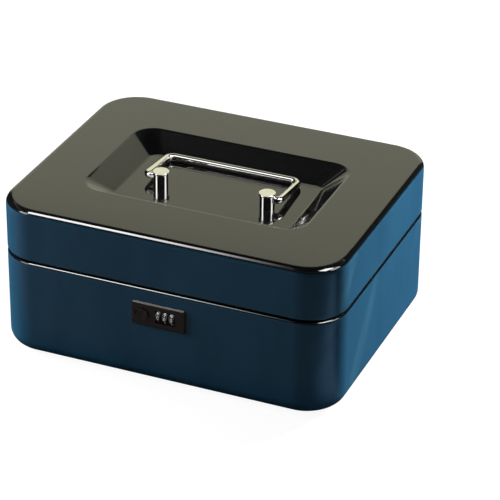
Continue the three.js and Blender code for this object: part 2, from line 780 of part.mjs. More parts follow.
function codeSleeve() {
  const half = sleeveLength / 2;
  const cavityRadius = sleeveRadius - sleeveWall;
  const flangeEnd = -half + sleeveFlange;
  const outer = rodX(sleeveRadius, -half, half, 0, 0, roundSides);
  const cavity = rodX(cavityRadius, flangeEnd, half + cutOverrun, 0, 0, roundSides);
  const bore = rodX(shaftRadius + looseGap, -half - cutOverrun, half, 0, 0);
  const gateHalf = finWidth / 2 + looseGap;
  const gateTop = shaftRadius + finHeight + looseGap / 2;
  const gate = slab(-half - cutOverrun, 0, -gateHalf, gateHalf, 0, gateTop);
  const ribHalf = sleeveRibWidth / 2;
  const ribTop = sleeveRadius + looseGap + notchDepth / 2;
  const ribEnd = dialWidth / 2;
  const rib = slab(-ribEnd, ribEnd, -ribTop, -sleeveRadius + sleeveWall / 2, -ribHalf, ribHalf);
  return outer.add(rib).subtract(cavity).subtract(bore).subtract(gate);
}

function codeShaft() {
  let made = rodX(shaftRadius, sliderRight, shaftEnd, dialAxis, 0);
  const halfWidth = finWidth / 2;
  for (let i = 0; i < dialCount; i++) {
    const x = dialStart + i * dialPitch + finPlace;
    const fin = slab(
      x - finThickness / 2,
      x + finThickness / 2,
      dialAxis - halfWidth,
      dialAxis + halfWidth,
      0,
      shaftRadius + finHeight,
    );
    made = made.add(fin);
  }
  return made;
}

function latchSlider() {
  const body = slab(sliderLeft, sliderRight, sliderFront, sliderBack, -sliderBelow, sliderAbove);
  const arm = slab(armLeft, armRight, armFront, sliderBack, 0, latchTop);
  const tip = slab(tipLeft, armRight, armFront, sliderBack, latchTop - latchTipHeight, latchTop);
  return body.add(arm).add(tip);
}

function slideButton() {
  const headStart = bezelThickness + slideGap;
  const headEnd = headStart + buttonHeight;
  const dishRadius = buttonRadius - buttonRim;
  const head = turned([
    [0, -sliderFront],
    [buttonStemRadius, -sliderFront],
    [buttonStemRadius, headStart],
    [buttonRadius, headStart],
    [buttonRadius, headEnd - buttonDish / 2],
    [dishRadius, headEnd],
    [dishRadius / 2, headEnd - (buttonDish * 3) / 4],
    [0, headEnd - buttonDish],
  ]);
  return head.rotate([90, 0, 0]);
}

function latchSpring() {
  const start = shaftEnd + looseGap + springWire;
  const end = housingRight - housingWall - looseGap - springWire;
  const steps = springTurns * springTurnSteps;
  const rise = (end - start) / (2 * Math.PI * springTurns);
  const pitch = (end - start) / springTurns;
  const leastGap = pitch - 2 * springWire;
  console.log(`latch spring: least gap between its turns ${leastGap.toFixed(2)} mm`);
  const stations = Array.from({ length: steps + 1 }, (_, i) => {
    const turn = (2 * Math.PI * i) / springTurnSteps;
    const side = new THREE.Vector3(0, Math.cos(turn), Math.sin(turn));
    const along = new THREE.Vector3(rise, -springRadius * side.z, springRadius * side.y).normalize();
    const at = side.clone().multiplyScalar(springRadius);
    at.x = start + ((end - start) * i) / steps;
    at.y += dialAxis;
    return { at, along, side };
  });
  return wire(stations, springWire, springWireSides);
}

function detentSpring() {
  const floorZ = -housingHalfHeight + housingWall;
  const noseBack = dialAxis + dialRadius + detentClearance + detentNoseDepth;
  const fingerBack = noseBack + detentSheet;
  const left = leftBearing + looseGap;
  const right = rightBearing - looseGap;
  const noseTop = -dialRadius / 4;
  let made = slab(left, right, dialAxis, fingerBack, floorZ, floorZ + detentSheet);
  for (let i = 0; i < dialCount; i++) {
    const x = dialStart + i * dialPitch;
    const x0 = x - detentFingerWidth / 2;
    const x1 = x + detentFingerWidth / 2;
    const finger = slab(x0, x1, noseBack, fingerBack, floorZ, noseTop);
    const nose = slab(x0, x1, noseBack - detentNoseDepth, fingerBack, noseTop - detentNoseHeight, noseTop);
    made = made.add(finger).add(nose);
  }
  return made;
}

function addLock(group) {
  const lock = new THREE.Group();
  lock.position.set(0, -bodyDepth / 2, lockHeight);
  group.add(lock);
  addPiece(lock, "lock_bezel", bezel(), blackPlastic);
  addPiece(lock, "lock_housing", housing(), zincPlate);
  addPiece(lock, "lock_back_cover", backCover(), zincPlate);
  for (const { side, x, z } of boltPlaces) {
    addPiece(lock, `lock_screw_${side}`, lockScrew(), springSteel).position.set(x, 0, z);
  }
  for (let i = 0; i < dialCount; i++) {
    const x = dialStart + i * dialPitch;
    addPiece(lock, `dial_${i + 1}`, dial(), dialPlastic).position.set(x, dialAxis, 0);
    addPiece(lock, `code_sleeve_${i + 1}`, codeSleeve(), brass).position.set(x, dialAxis, 0);
  }
  addPiece(lock, "code_shaft", codeShaft(), springSteel);
  addPiece(lock, "latch_slider", latchSlider(), zincPlate);
  addPiece(lock, "slide_button", slideButton(), blackPlastic).position.x = -buttonPlace;
  addPiece(lock, "latch_spring", latchSpring(), springSteel);
  addPiece(lock, "detent_spring", detentSpring(), springSteel);
  addPiece(lock, "reset_lever", resetLever(), brass).position.set(resetPlace, 0, -resetDrop);
}

// Catch: an angle welded inside the lid's front wall, whose free leg hangs behind the base's lip.
function lidCatch() {
  const wall = -bodyDepth / 2 + sheet;
  const right = tipLeft - catchGap;
  const left = right - catchSheet;
  const legFront = -bodyDepth / 2 + lipInset + sheet + catchBehindLip;
  const windowFront = -bodyDepth / 2 + armFront - catchClearance;
  const windowBack = -bodyDepth / 2 + sliderBack + catchClearance;
  const windowTop = lockHeight + latchTop + catchRise;
  const windowBottom = lockHeight + latchTop - latchTipHeight - catchRise;
  const low = lipTop + catchAboveLip;
  const flangeHeight = catchFlangeShare * (bodyHeight - lidTopRadius - low);
  const high = low + flangeHeight;
  const back = windowBack + catchRim;
  const bottom = windowBottom - catchRim;
  const leg = prismX(
    [
      [wall, high],
      [wall, low],
      [legFront, low],
      [legFront, bottom],
      [back, bottom],
      [back, low],
      [wall + flangeHeight / 2, high],
    ],
    left,
    right,
  );
  const flange = slab(left, left + catchFlangeWidth, wall, wall + catchSheet, low, high);
  const opening = slab(
    left - cutOverrun,
    right + cutOverrun,
    windowFront,
    windowBack,
    windowBottom,
    windowTop,
  );
  return leg.add(flange).subtract(opening);
}

const lockBox = new THREE.Group();
lockBox.name = "medication_lock_box";
addPiece(lockBox, "base_shell", baseShell(), bluePaint);
addPiece(lockBox, "lid_shell", lidShell(), blackGloss);
addHinge(lockBox, "left", hingePlaces[0]);
addHinge(lockBox, "right", hingePlaces[1]);
addHandle(lockBox);
addLock(lockBox);
addPiece(lockBox, "lid_catch", lidCatch(), zincPlate);

export default lockBox;
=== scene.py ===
"""Looks of a small steel lock box for medicines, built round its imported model.

Metres, +Z up, front towards -Y. The origin is the middle of the box's flat underside. Each
sub-assembly is a class with its own sizes, each finish a small frozen class, and the studio holds the
camera, the floor, the lamps and the cards that the gloss shows.
"""

from __future__ import annotations

import json
import logging
import math
from contextlib import contextmanager
from dataclasses import dataclass
from enum import Enum
from typing import Callable, Iterator, Sequence

import bmesh
import bpy
from bmesh.types import BMEdge, BMVert
from bpy.types import Material, Node, NodeSocket, Object
from mathutils import Euler, Matrix, Vector

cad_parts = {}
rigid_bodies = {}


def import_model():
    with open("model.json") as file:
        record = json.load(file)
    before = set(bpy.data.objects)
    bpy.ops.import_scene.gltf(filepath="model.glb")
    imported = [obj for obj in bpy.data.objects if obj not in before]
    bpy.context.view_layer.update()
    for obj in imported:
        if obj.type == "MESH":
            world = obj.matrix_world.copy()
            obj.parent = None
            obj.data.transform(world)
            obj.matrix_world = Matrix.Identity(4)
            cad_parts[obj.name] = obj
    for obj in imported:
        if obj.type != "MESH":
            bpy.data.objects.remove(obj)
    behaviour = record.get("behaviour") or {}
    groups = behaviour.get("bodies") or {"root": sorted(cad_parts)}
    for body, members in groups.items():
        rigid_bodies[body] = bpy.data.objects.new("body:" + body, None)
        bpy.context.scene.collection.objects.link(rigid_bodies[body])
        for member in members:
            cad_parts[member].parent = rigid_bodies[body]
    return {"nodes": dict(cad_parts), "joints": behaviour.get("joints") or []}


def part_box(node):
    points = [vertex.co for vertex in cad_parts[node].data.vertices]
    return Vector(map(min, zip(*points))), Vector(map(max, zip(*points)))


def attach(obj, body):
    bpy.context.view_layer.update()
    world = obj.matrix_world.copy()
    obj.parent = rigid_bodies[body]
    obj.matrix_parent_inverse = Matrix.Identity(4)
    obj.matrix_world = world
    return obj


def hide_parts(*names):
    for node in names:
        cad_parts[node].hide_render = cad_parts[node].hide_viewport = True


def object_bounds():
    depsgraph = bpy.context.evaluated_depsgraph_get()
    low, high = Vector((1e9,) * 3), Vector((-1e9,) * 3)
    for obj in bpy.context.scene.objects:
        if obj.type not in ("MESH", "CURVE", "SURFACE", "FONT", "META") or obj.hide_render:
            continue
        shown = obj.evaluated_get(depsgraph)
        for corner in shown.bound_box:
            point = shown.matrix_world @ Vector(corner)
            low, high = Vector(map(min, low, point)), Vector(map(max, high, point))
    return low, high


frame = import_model()
CAD_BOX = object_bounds()

MM = 0.001
TOUCH = 0.02 * MM  # points closer than this lie on the same plane
STRAY = 2e-5  # share of its length by which an edge may miss an axis
OVERRUN = 1 * MM  # how far a cutter runs past the face it cuts
SIDE = CAD_BOX[1].x  # half the box's width
FRONT = -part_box("base_shell")[0].y  # half the box's depth
RIGHT_ANGLE = math.radians(90)
SMOOTH_ANGLE = math.radians(38)
FLAT_ANGLE = math.radians(1)
BREAK_STEPS = 2  # steps of a broken edge
LARGE_FACES = 100  # weight at which a smooth edge leans on its larger face alone
SIDES = ("left", "right")
DIALS = (1, 2, 3)

Pair = tuple[float, float]
Colour = tuple[float, float, float, float]

log = logging.getLogger("lock_box")


class Pick(Enum):
    """What an edit-mode selection works on."""

    VERTS = "VERT"
    EDGES = "EDGE"
    FACES = "FACE"


class Mix(Enum):
    """How one solid goes into another."""

    CUT = "DIFFERENCE"
    UNITE = "UNION"


class Axis(Enum):
    """An axis of the box."""

    X = 0
    Y = 1
    Z = 2


# Bench: selecting, adding and finishing


def select_only(*pieces: Object) -> None:
    """Select these objects alone, the first of them active.

    Args:
        pieces: The objects to select.
    """
    bpy.ops.object.select_all(action="DESELECT")
    for piece in pieces:
        piece.select_set(True)
    bpy.context.view_layer.objects.active = pieces[0]


@contextmanager
def editing(piece: Object, kind: Pick = Pick.EDGES, whole: bool = False) -> Iterator[None]:
    """Open one piece in edit mode and close it again.

    Args:
        piece: The mesh object.
        kind: What is selected in it.
        whole: Whether all of it is selected at first or nothing.

    Yields:
        Nothing; the piece is in edit mode meanwhile.
    """
    select_only(piece)
    bpy.ops.object.mode_set(mode="EDIT")
    bpy.ops.mesh.select_mode(type=kind.value)
    bpy.ops.mesh.select_all(action="SELECT" if whole else "DESELECT")
    yield
    bpy.ops.object.mode_set(mode="OBJECT")


def pick(kind: Pick, wanted: Callable[..., bool]) -> None:
    """Select what passes a test in the piece that is in edit mode.

    Args:
        kind: Whether the test is asked of vertices, edges or faces.
        wanted: The test, given one vertex, edge or face.
    """
    bpy.ops.mesh.select_mode(type=kind.value)
    bpy.ops.mesh.select_all(action="DESELECT")
    data = bpy.context.edit_object.data
    mesh = bmesh.from_edit_mesh(data)
    groups = {Pick.VERTS: mesh.verts, Pick.EDGES: mesh.edges, Pick.FACES: mesh.faces}
    for element in [element for element in groups[kind] if wanted(element)]:
        element.select_set(True)
    bmesh.update_edit_mesh(data)


def all_at(axis: Axis, place: float) -> Callable[..., bool]:
    """Make a test for an edge or face whose points all have one coordinate at a place."""
    return lambda element: all(abs(v.co[axis.value] - place) < TOUCH for v in element.verts)


def runs_along(axis: Axis) -> Callable[..., bool]:
    """Make a test for an edge that runs along an axis.

    Args:
        axis: The axis.

    Returns:
        The test.
    """

    def wanted(edge: BMEdge) -> bool:
        """Say whether an edge runs that way."""
        run = edge.verts[1].co - edge.verts[0].co
        return abs(run[axis.value]) > (1 - STRAY) * run.length

    return wanted


def bevel(offset: float, segments: int, kind: Pick = Pick.EDGES) -> None:
    """Round what is selected in edit mode.

    Args:
        offset: Distance from each edge, the radius where its faces meet at a right angle.
        segments: Steps of the rounding.
        kind: Whether edges are rounded or, of a flat face, its vertices.
    """
    bpy.ops.mesh.bevel(
        offset_type="OFFSET",
        offset=offset,
        segments=segments,
        profile=0.5,
        affect="VERTICES" if kind is Pick.VERTS else "EDGES",
        clamp_overlap=False,
    )


def extrude(x: float, y: float, z: float) -> None:
    """Extrude what is selected in edit mode by a vector."""
    bpy.ops.mesh.extrude_region_move(TRANSFORM_OT_translate={"value": (x, y, z)})


def settle(piece: Object) -> None:
    """Put a piece's place, turn and scale into its mesh."""
    select_only(piece)
    bpy.ops.object.transform_apply(location=True, rotation=True, scale=True)


def block(name: str, low: Sequence[float], high: Sequence[float]) -> Object:
    """Add a block between two corners, as the start of a piece.

    Args:
        name: The piece's name.
        low: Its lowest corner.
        high: Its highest corner.

    Returns:
        The new object.
    """
    low_corner, high_corner = Vector(low), Vector(high)
    bpy.ops.mesh.primitive_cube_add(size=1, location=(low_corner + high_corner) / 2)
    piece = bpy.context.object
    piece.scale = high_corner - low_corner
    piece.name = name
    settle(piece)
    return piece


def rod(
    name: str, radius: float, start: Sequence[float], end: Sequence[float], sides: int
) -> Object:
    """Add a cylinder from one point to another, as the start of a piece.

    Args:
        name: The piece's name.
        radius: Its radius.
        start: The middle of one end.
        end: The middle of the other.
        sides: Sides of the cylinder.

    Returns:
        The new object.
    """
    first, last = Vector(start), Vector(end)
    bpy.ops.mesh.primitive_cylinder_add(
        vertices=sides, radius=radius, depth=(last - first).length, location=(first + last) / 2
    )
    piece = bpy.context.object
    piece.name = name
    piece.rotation_mode = "QUATERNION"
    piece.rotation_quaternion = (last - first).to_track_quat("Z", "Y")
    settle(piece)
    return piece


def rounded_plate(half_x: float, half_y: float, corner: float, z: float, steps: int) -> Object:
    """Add one flat face with rounded corners, level and centred on the box.

    Args:
        half_x: Half its size along X.
        half_y: Half its size along Y.
        corner: Radius of its corners.
        z: Its height.
        steps: Steps of each corner.

    Returns:
        The new object.
    """
    bpy.ops.mesh.primitive_plane_add(size=2, location=(0, 0, z))
    plate = bpy.context.object
    plate.scale = (half_x, half_y, 1)
    settle(plate)
    with editing(plate, Pick.VERTS, whole=True):
        bevel(corner, steps, Pick.VERTS)
    return plate


def join(piece: Object, *others: Object) -> None:
    """Join other objects into a piece."""
    select_only(piece, *others)
    bpy.ops.object.join()


def put_modifier(piece: Object, kind: str, **settings: object) -> None:
    """Add one modifier to a piece and apply it.

    Args:
        piece: The mesh object.
        kind: The modifier's type.
        settings: Its settings.
    """
    select_only(piece)
    modifier = piece.modifiers.new(kind.title(), kind)
    for key, value in settings.items():
        setattr(modifier, key, value)
    bpy.ops.object.modifier_apply(modifier=modifier.name)


def combine(piece: Object, mix: Mix, *others: Object) -> None:
    """Cut other objects out of a piece or unite it with them, and delete them.

    Args:
        piece: The mesh object.
        mix: Whether they are cut out or united with it.
        others: The other objects.
    """
    for other in others:
        put_modifier(piece, "BOOLEAN", operation=mix.value, object=other, solver="EXACT")
        bpy.data.objects.remove(other)


def outward(piece: Object) -> None:
    """Merge a piece's doubles and turn its faces outwards."""
    with editing(piece, Pick.VERTS, whole=True):
        bpy.ops.mesh.remove_doubles(threshold=TOUCH / 4)
        bpy.ops.mesh.normals_make_consistent(inside=False)


def finish_edges(piece: Object, width: float) -> None:
    """Break the sharp edges of a piece and shade it smooth, with its flat faces kept flat.

    Args:
        piece: The mesh object.
        width: Width of the break.
    """
    put_modifier(
        piece,
        "BEVEL",
        width=width,
        segments=BREAK_STEPS,
        limit_method="ANGLE",
        angle_limit=SMOOTH_ANGLE,
        use_clamp_overlap=True,
    )
    select_only(piece)
    bpy.ops.object.shade_smooth_by_angle(angle=SMOOTH_ANGLE)
    put_modifier(piece, "WEIGHTED_NORMAL", weight=LARGE_FACES, keep_sharp=True)


def refined_copy(node: str, name: str, width: float) -> Object:
    """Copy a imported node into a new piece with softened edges.

    Args:
        node: The node's name.
        name: The new piece's name.
        width: Width of the break of its edges.

    Returns:
        The new object.
    """
    piece = bpy.data.objects.new(name, frame["nodes"][node].data.copy())
    bpy.context.scene.collection.objects.link(piece)
    outward(piece)
    with editing(piece, Pick.FACES, whole=True):
        bpy.ops.mesh.dissolve_limited(angle_limit=FLAT_ANGLE)
    finish_edges(piece, width)
    return piece


def dress(piece: Object, material: Material) -> None:
    """Give a piece one material."""
    piece.data.materials.clear()
    piece.data.materials.append(material)


def mount(piece: Object, finish: Finish, body: str, *replaces: str) -> None:
    """Dress a finished piece and hand it to the frame.

    Args:
        piece: The mesh object.
        finish: Its finish.
        body: The body that it rides on.
        replaces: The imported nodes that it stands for.
    """
    dress(piece, finish.material())
    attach(piece, body)
    if replaces:
        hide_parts(*replaces)
    log.info("%s: %d faces, rides on %s", piece.name, len(piece.data.polygons), body)


# Finishes


class Shader:
    """One material's node tree, with short calls that add and join its nodes."""

    def __init__(self, name: str) -> None:
        """Start a material.

        Args:
            name: The material's name.
        """
        self.material = bpy.data.materials.new(name)
        self.material.use_nodes = True
        self.tree = self.material.node_tree
        self.surface = self.tree.nodes["Principled BSDF"]
        self.place = self.add("ShaderNodeTexCoord")

    def put(self, value: object, socket: NodeSocket) -> None:
        """Give a socket a number or a colour, or link another socket to it.

        Args:
            value: The number, the colour or the other socket.
            socket: The socket.
        """
        if isinstance(value, NodeSocket):
            self.tree.links.new(value, socket)
        else:
            socket.default_value = value

    def add(self, kind: str, **inputs: object) -> Node:
        """Add a node.

        Args:
            kind: The node's type.
            inputs: Attributes of the node, or what its sockets get, with _ for each space.

        Returns:
            The node.
        """
        node = self.tree.nodes.new(kind)
        for key, value in inputs.items():
            if hasattr(node, key):
                setattr(node, key, value)
            else:
                self.put(value, node.inputs[key.replace("_", " ")])
        return node

    def set(self, **values: object) -> None:
        """Set or feed the surface's own sockets, with _ for each space of a name."""
        for key, value in values.items():
            self.put(value, self.surface.inputs[key.replace("_", " ")])

    def light_up(self, base: Colour, colour: Colour, strength: NodeSocket) -> None:
        """Make the surface dull and alight."""
        self.set(Base_Color=base, Roughness=1.0, Specular_IOR_Level=0.0)
        self.set(Emission_Color=colour, Emission_Strength=strength)

    def split(self, output: str) -> bpy.types.bpy_prop_collection:
        """Split one of the object's coordinates into its X, Y and Z."""
        return self.add("ShaderNodeSeparateXYZ", Vector=self.place.outputs[output]).outputs

    def noise(
        self,
        scale: float,
        detail: float = 2,
        stretch: Sequence[float] = (1, 1, 1),
        lean: float = 0,
    ) -> NodeSocket:
        """Add noise on the object's own coordinates.

        Args:
            scale: Waves to the metre, about.
            detail: Octaves.
            stretch: Scale along each axis.
            lean: Angle about X by which the pattern leans back.

        Returns:
            The noise's value.
        """
        place = self.place.outputs["Object"]
        turned = self.add("ShaderNodeMapping", Vector=place, Rotation=(lean, 0, 0))
        scaled = self.add("ShaderNodeMapping", Vector=turned.outputs["Vector"], Scale=stretch)
        vector = scaled.outputs["Vector"]
        return self.add("ShaderNodeTexNoise", Vector=vector, Scale=scale, Detail=detail).outputs["Fac"]

    def spread(
        self, value: NodeSocket, low: float, high: float, start: float = 0, end: float = 1
    ) -> NodeSocket:
        """Map a value from one range to another, smoothly and clamped.

        Args:
            value: The value.
            low: Outcome at start.
            high: Outcome at end.
            start: Lower end of the range that comes in.
            end: Upper end of it.

        Returns:
            The outcome.
        """
        node = self.add("ShaderNodeMapRange", interpolation_type="SMOOTHSTEP", Value=value)
        ends = (("From Min", start), ("From Max", end), ("To Min", low), ("To Max", high))
        for name, number in ends:
            node.inputs[name].default_value = number
        return node.outputs["Result"]

    def maths(self, operation: str, first: object, second: object) -> NodeSocket:
        """Combine two values, each a number or a socket.

        Args:
            operation: The name of the sum.
            first: The first value.
            second: The second value.

        Returns:
            The outcome.
        """
        node = self.add("ShaderNodeMath", operation=operation)
        self.put(first, node.inputs[0])
        self.put(second, node.inputs[1])
        return node.outputs["Value"]

    def blend(self, amount: NodeSocket, first: object, second: object) -> NodeSocket:
        """Blend two colours, each a colour or a socket.

        Args:
            amount: Share of the second.
            first: The first colour.
            second: The second colour.

        Returns:
            The colour.
        """
        node = self.add("ShaderNodeMix", data_type="RGBA", Factor=amount)
        for name, value in (("A", first), ("B", second)):
            self.put(value, next(i for i in node.inputs if i.name == name and i.type == "RGBA"))
        return next(o for o in node.outputs if o.type == "RGBA")

    def bump(self, *layers: tuple[NodeSocket, float, float]) -> None:
        """Give the surface its relief.

        Args:
            layers: The height, its strength and its depth in metres, the coarsest first.
        """
        below = None
        for height, strength, depth in layers:
            node = self.add("ShaderNodeBump", Strength=strength, Distance=depth, Height=height)
            if below is not None:
                self.put(below, node.inputs["Normal"])
            below = node.outputs["Normal"]
        self.set(Normal=below)


def tone(red: float, green: float, blue: float) -> Colour:
    """Make a linear colour of three parts from 0 to 1."""
    return (red, green, blue, 1.0)


WHITE = tone(1, 1, 1)
BLACK = tone(0, 0, 0)


@dataclass(frozen=True)
class Finish:
    """A surface finish that makes its material once."""

    name: str
    slot: str

    def material(self) -> Material:
        """Give the finish's material, made when it is first asked for."""
        made = bpy.data.materials.get(self.name)
        return made if made else self.make()

    def make(self) -> Material:
        """Make the material."""
        raise NotImplementedError


@dataclass(frozen=True)
class BoxEnamel(Finish):
    """Blue enamel on upright walls that runs to clear-coated black on level and sloping faces, with
    pale streaks of painted reflection that are full on walls facing +X.
    """

    both_faces: bool = False  # black on faces that point down too
    wall: Colour = tone(0.031, 0.128, 0.232)
    wall_deep: Colour = tone(0.025, 0.105, 0.2)
    wall_pale: Colour = tone(0.055, 0.185, 0.3)
    edge: Colour = tone(0.0085, 0.009, 0.0095)
    black_above: Pair = (50 * MM, 52 * MM)
    edge_slope: Pair = (0.28, 0.6)  # part of the normal along Z
    cloud: tuple = (26, 3, (1, 1, 0.3))  # scale, detail and stretch
    cloud_ends: Pair = (0.32, 0.6)
    streak: tuple = (38, 2, (1, 1, 0.2), math.radians(35))  # scale, detail, stretch and lean of the painted reflection streaks
    streak_ends: Pair = (0.5, 0.75)
    streaked_side: Pair = (0.45, 0.95)  # part of the normal along X; the painted reflection streaks are full on faces turned to the lit right side
    streak_least: float = 0.12  # share of the painted reflection streaks that is left on the other sides
    wall_roughness: float = 0.3
    edge_roughness: float = 0.12
    patchy: tuple = (160, 3)
    patchy_roughness: Pair = (-0.02, 0.03)
    specular: float = 0.16
    coat_roughness: float = 0.015
    coat_ior: float = 1.38
    waves: tuple[float, ...] = (14, 1.0, 0.05 * MM)  # scale, strength and depth
    grain: tuple[float, ...] = (900, 0.25, 0.004 * MM)

    def make(self) -> Material:
        """Make the material.

        Returns:
            The material.
        """
        shader = Shader(self.name)
        normal = shader.split("Normal")
        slope = shader.maths("ABSOLUTE", normal["Z"], 0) if self.both_faces else normal["Z"]
        high = shader.spread(shader.split("Object")["Z"], 0, 1, *self.black_above)
        black = shader.maths("MULTIPLY", shader.spread(slope, 0, 1, *self.edge_slope), high)
        cloud = shader.spread(shader.noise(*self.cloud), 0, 1, *self.cloud_ends)
        # pale streaks of painted reflection, full on the lit right wall and faint on the other sides
        streak = shader.spread(shader.noise(*self.streak), 0, 1, *self.streak_ends)
        side = shader.spread(normal["X"], self.streak_least, 1, *self.streaked_side)
        wall = shader.blend(cloud, self.wall_deep, self.wall)
        wall = shader.blend(shader.maths("MULTIPLY", streak, side), wall, self.wall_pale)
        drop = shader.maths("MULTIPLY", black, self.edge_roughness - self.wall_roughness)
        rough = shader.maths("ADD", drop, self.wall_roughness)
        patchy = shader.spread(shader.noise(*self.patchy), *self.patchy_roughness)
        shader.set(
            Base_Color=shader.blend(black, wall, self.edge),
            Roughness=shader.maths("ADD", rough, patchy),
            Specular_IOR_Level=self.specular,
            Coat_Weight=black,
            Coat_Roughness=self.coat_roughness,
            Coat_IOR=self.coat_ior,
        )
        shader.bump(*((shader.noise(scale), *relief) for scale, *relief in (self.waves, self.grain)))
        return shader.material


@dataclass(frozen=True)
class Worn(Finish):
    """A finish whose colour changes in patches and whose roughness follows a fine grain."""

    colour: Colour
    worn: Colour
    roughness: Pair  # at the grain's two ends
    grain: tuple = ()  # scale, detail and stretch
    relief: Pair = (0, 0)  # strength and depth
    patches: Pair = (180, 3)  # scale and detail
    patch_ends: Pair = (0.35, 0.65)
    grain_ends: Pair = (0, 1)
    specular: float = 0.5
    metallic: float = 0

    def make(self) -> Material:
        """Make the material.

        Returns:
            The material.
        """
        shader = Shader(self.name)
        share = shader.spread(shader.noise(*self.patches), 0, 1, *self.patch_ends)
        height = shader.noise(*self.grain)
        shader.set(
            Base_Color=shader.blend(share, self.colour, self.worn),
            Roughness=shader.spread(height, *self.roughness, *self.grain_ends),
            Metallic=self.metallic,
            Specular_IOR_Level=self.specular,
        )
        shader.bump((height, *self.relief))
        return shader.material


@dataclass(frozen=True)
class Metal(Worn):
    """A bare or plated metal with fine scratches and a little unevenness."""

    patches: Pair = (120, 4)
    grain_ends: Pair = (0.3, 0.7)
    metallic: float = 1.0


@dataclass(frozen=True)
class Moulded(Worn):
    """Moulded plastic with a fine spark-eroded grain."""

    grain: tuple = (2600, 2)
    relief: Pair = (0.5, 0.01 * MM)
    specular: float = 0.3


ROUND_X = (8, 1, 1)  # stretch of a grain that runs round the X axis
BASE_ENAMEL = BoxEnamel("base_enamel", "body_paint")
LID_ENAMEL = BoxEnamel("lid_enamel", "lid_paint", both_faces=True)
CHROME = Metal(
    "chrome_plate", "chrome_steel", tone(0.86, 0.845, 0.8), tone(0.8, 0.785, 0.745),
    (0.04, 0.08), (900, 4), (0.4, 0.0005 * MM),
)
ZINC = Metal(
    "zinc_plate", "zinc_plated", tone(0.56, 0.57, 0.58), tone(0.43, 0.44, 0.45),
    (0.26, 0.42), (700, 4), (0.4, 0.01 * MM),
)
STEEL = Metal(
    "bright_steel", "spring_steel", tone(0.5, 0.51, 0.52), tone(0.38, 0.38, 0.39),
    (0.21, 0.31), (300, 4, ROUND_X), (0.4, 0.004 * MM),
)
BRASS = Metal(
    "turned_brass", "brass", tone(0.66, 0.47, 0.2), tone(0.5, 0.34, 0.14),
    (0.22, 0.34), (300, 4, ROUND_X), (0.4, 0.004 * MM),
)
LOCK_BLACK = Moulded(
    "lock_black", "lock_plastic", tone(0.01, 0.01, 0.011), tone(0.016, 0.015, 0.016), (0.35, 0.48)
)
DIAL_BLACK = Moulded(
    "dial_black", "dial_plastic", tone(0.006, 0.006, 0.007), tone(0.01, 0.01, 0.01), (0.3, 0.43)
)
DIGIT_WHITE = Moulded(
    "digit_white", "dial_plastic", tone(0.93, 0.93, 0.91), tone(0.88, 0.88, 0.86), (0.35, 0.48),
    relief=(0.5, 0),
    specular=0.5,
)


# Sub-assemblies


@dataclass
class Shell:
    """What the base and the lid share."""

    corner: float = 23 * MM
    corner_steps: int = 28
    sheet: float = 0.8 * MM
    edge_break: float = 0.16 * MM
    hinge_room: float = 0.3 * MM
    barrel_room: float = 0.4 * MM

    def upright_block(self, name: str, low: Vector, high: Vector) -> Object:
        """Make a block with the box's rounded upright edges.

        Args:
            name: The piece's name.
            low: Its lowest corner.
            high: Its highest corner.

        Returns:
            The new object.
        """
        piece = block(name, low, high)
        with editing(piece):
            pick(Pick.EDGES, runs_along(Axis.Z))
            bevel(self.corner, self.corner_steps)
        return piece

    def outline_at(self, z: float, inset: float = 0) -> Callable[..., bool]:
        """Make a test for the edges of a ring that follows the box's outline.

        Args:
            z: The ring's height.
            inset: How far it lies inside.

        Returns:
            The test.
        """

        def near(place: Vector) -> bool:
            """Say whether a point lies on the ring.

            Args:
                place: The point.

            Returns:
                Whether it does.
            """
            x, y = (max(abs(c) - half + self.corner, 0) for c, half in zip(place, (SIDE, FRONT)))
            away = abs(math.hypot(x, y) - self.corner + inset)
            return abs(place.z - z) < TOUCH and away < 5 * TOUCH

        return lambda edge: all(near(vert.co) for vert in edge.verts)

    def wall(self, piece: Object, floor_down: bool) -> None:
        """Give a skin its sheet thickness, inwards.

        Args:
            piece: The skin.
            floor_down: Whether its largest face points down, as the base's does.
        """
        outward(piece)
        level = max(piece.data.polygons, key=lambda face: face.area)
        if (level.normal.z > 0) == floor_down:
            with editing(piece, Pick.FACES, whole=True):
                bpy.ops.mesh.flip_normals()
        put_modifier(piece, "SOLIDIFY", thickness=self.sheet, offset=-1, use_even_offset=True)

    def barrels(self) -> Iterator[tuple[str, float, float, Vector, float]]:
        """Give where the hinges' barrels stand.

        Yields:
            The side, the left and right end and the middle of a barrel, and its radius, with room.
        """
        for side in SIDES:
            low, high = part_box(f"hinge_base_leaf_{side}")
            pin_low, pin_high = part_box(f"hinge_pin_{side}")
            middle = (pin_low + pin_high) / 2
            radius = high.y - middle.y + self.barrel_room
            yield side, low.x - self.hinge_room, high.x + self.hinge_room, middle, radius


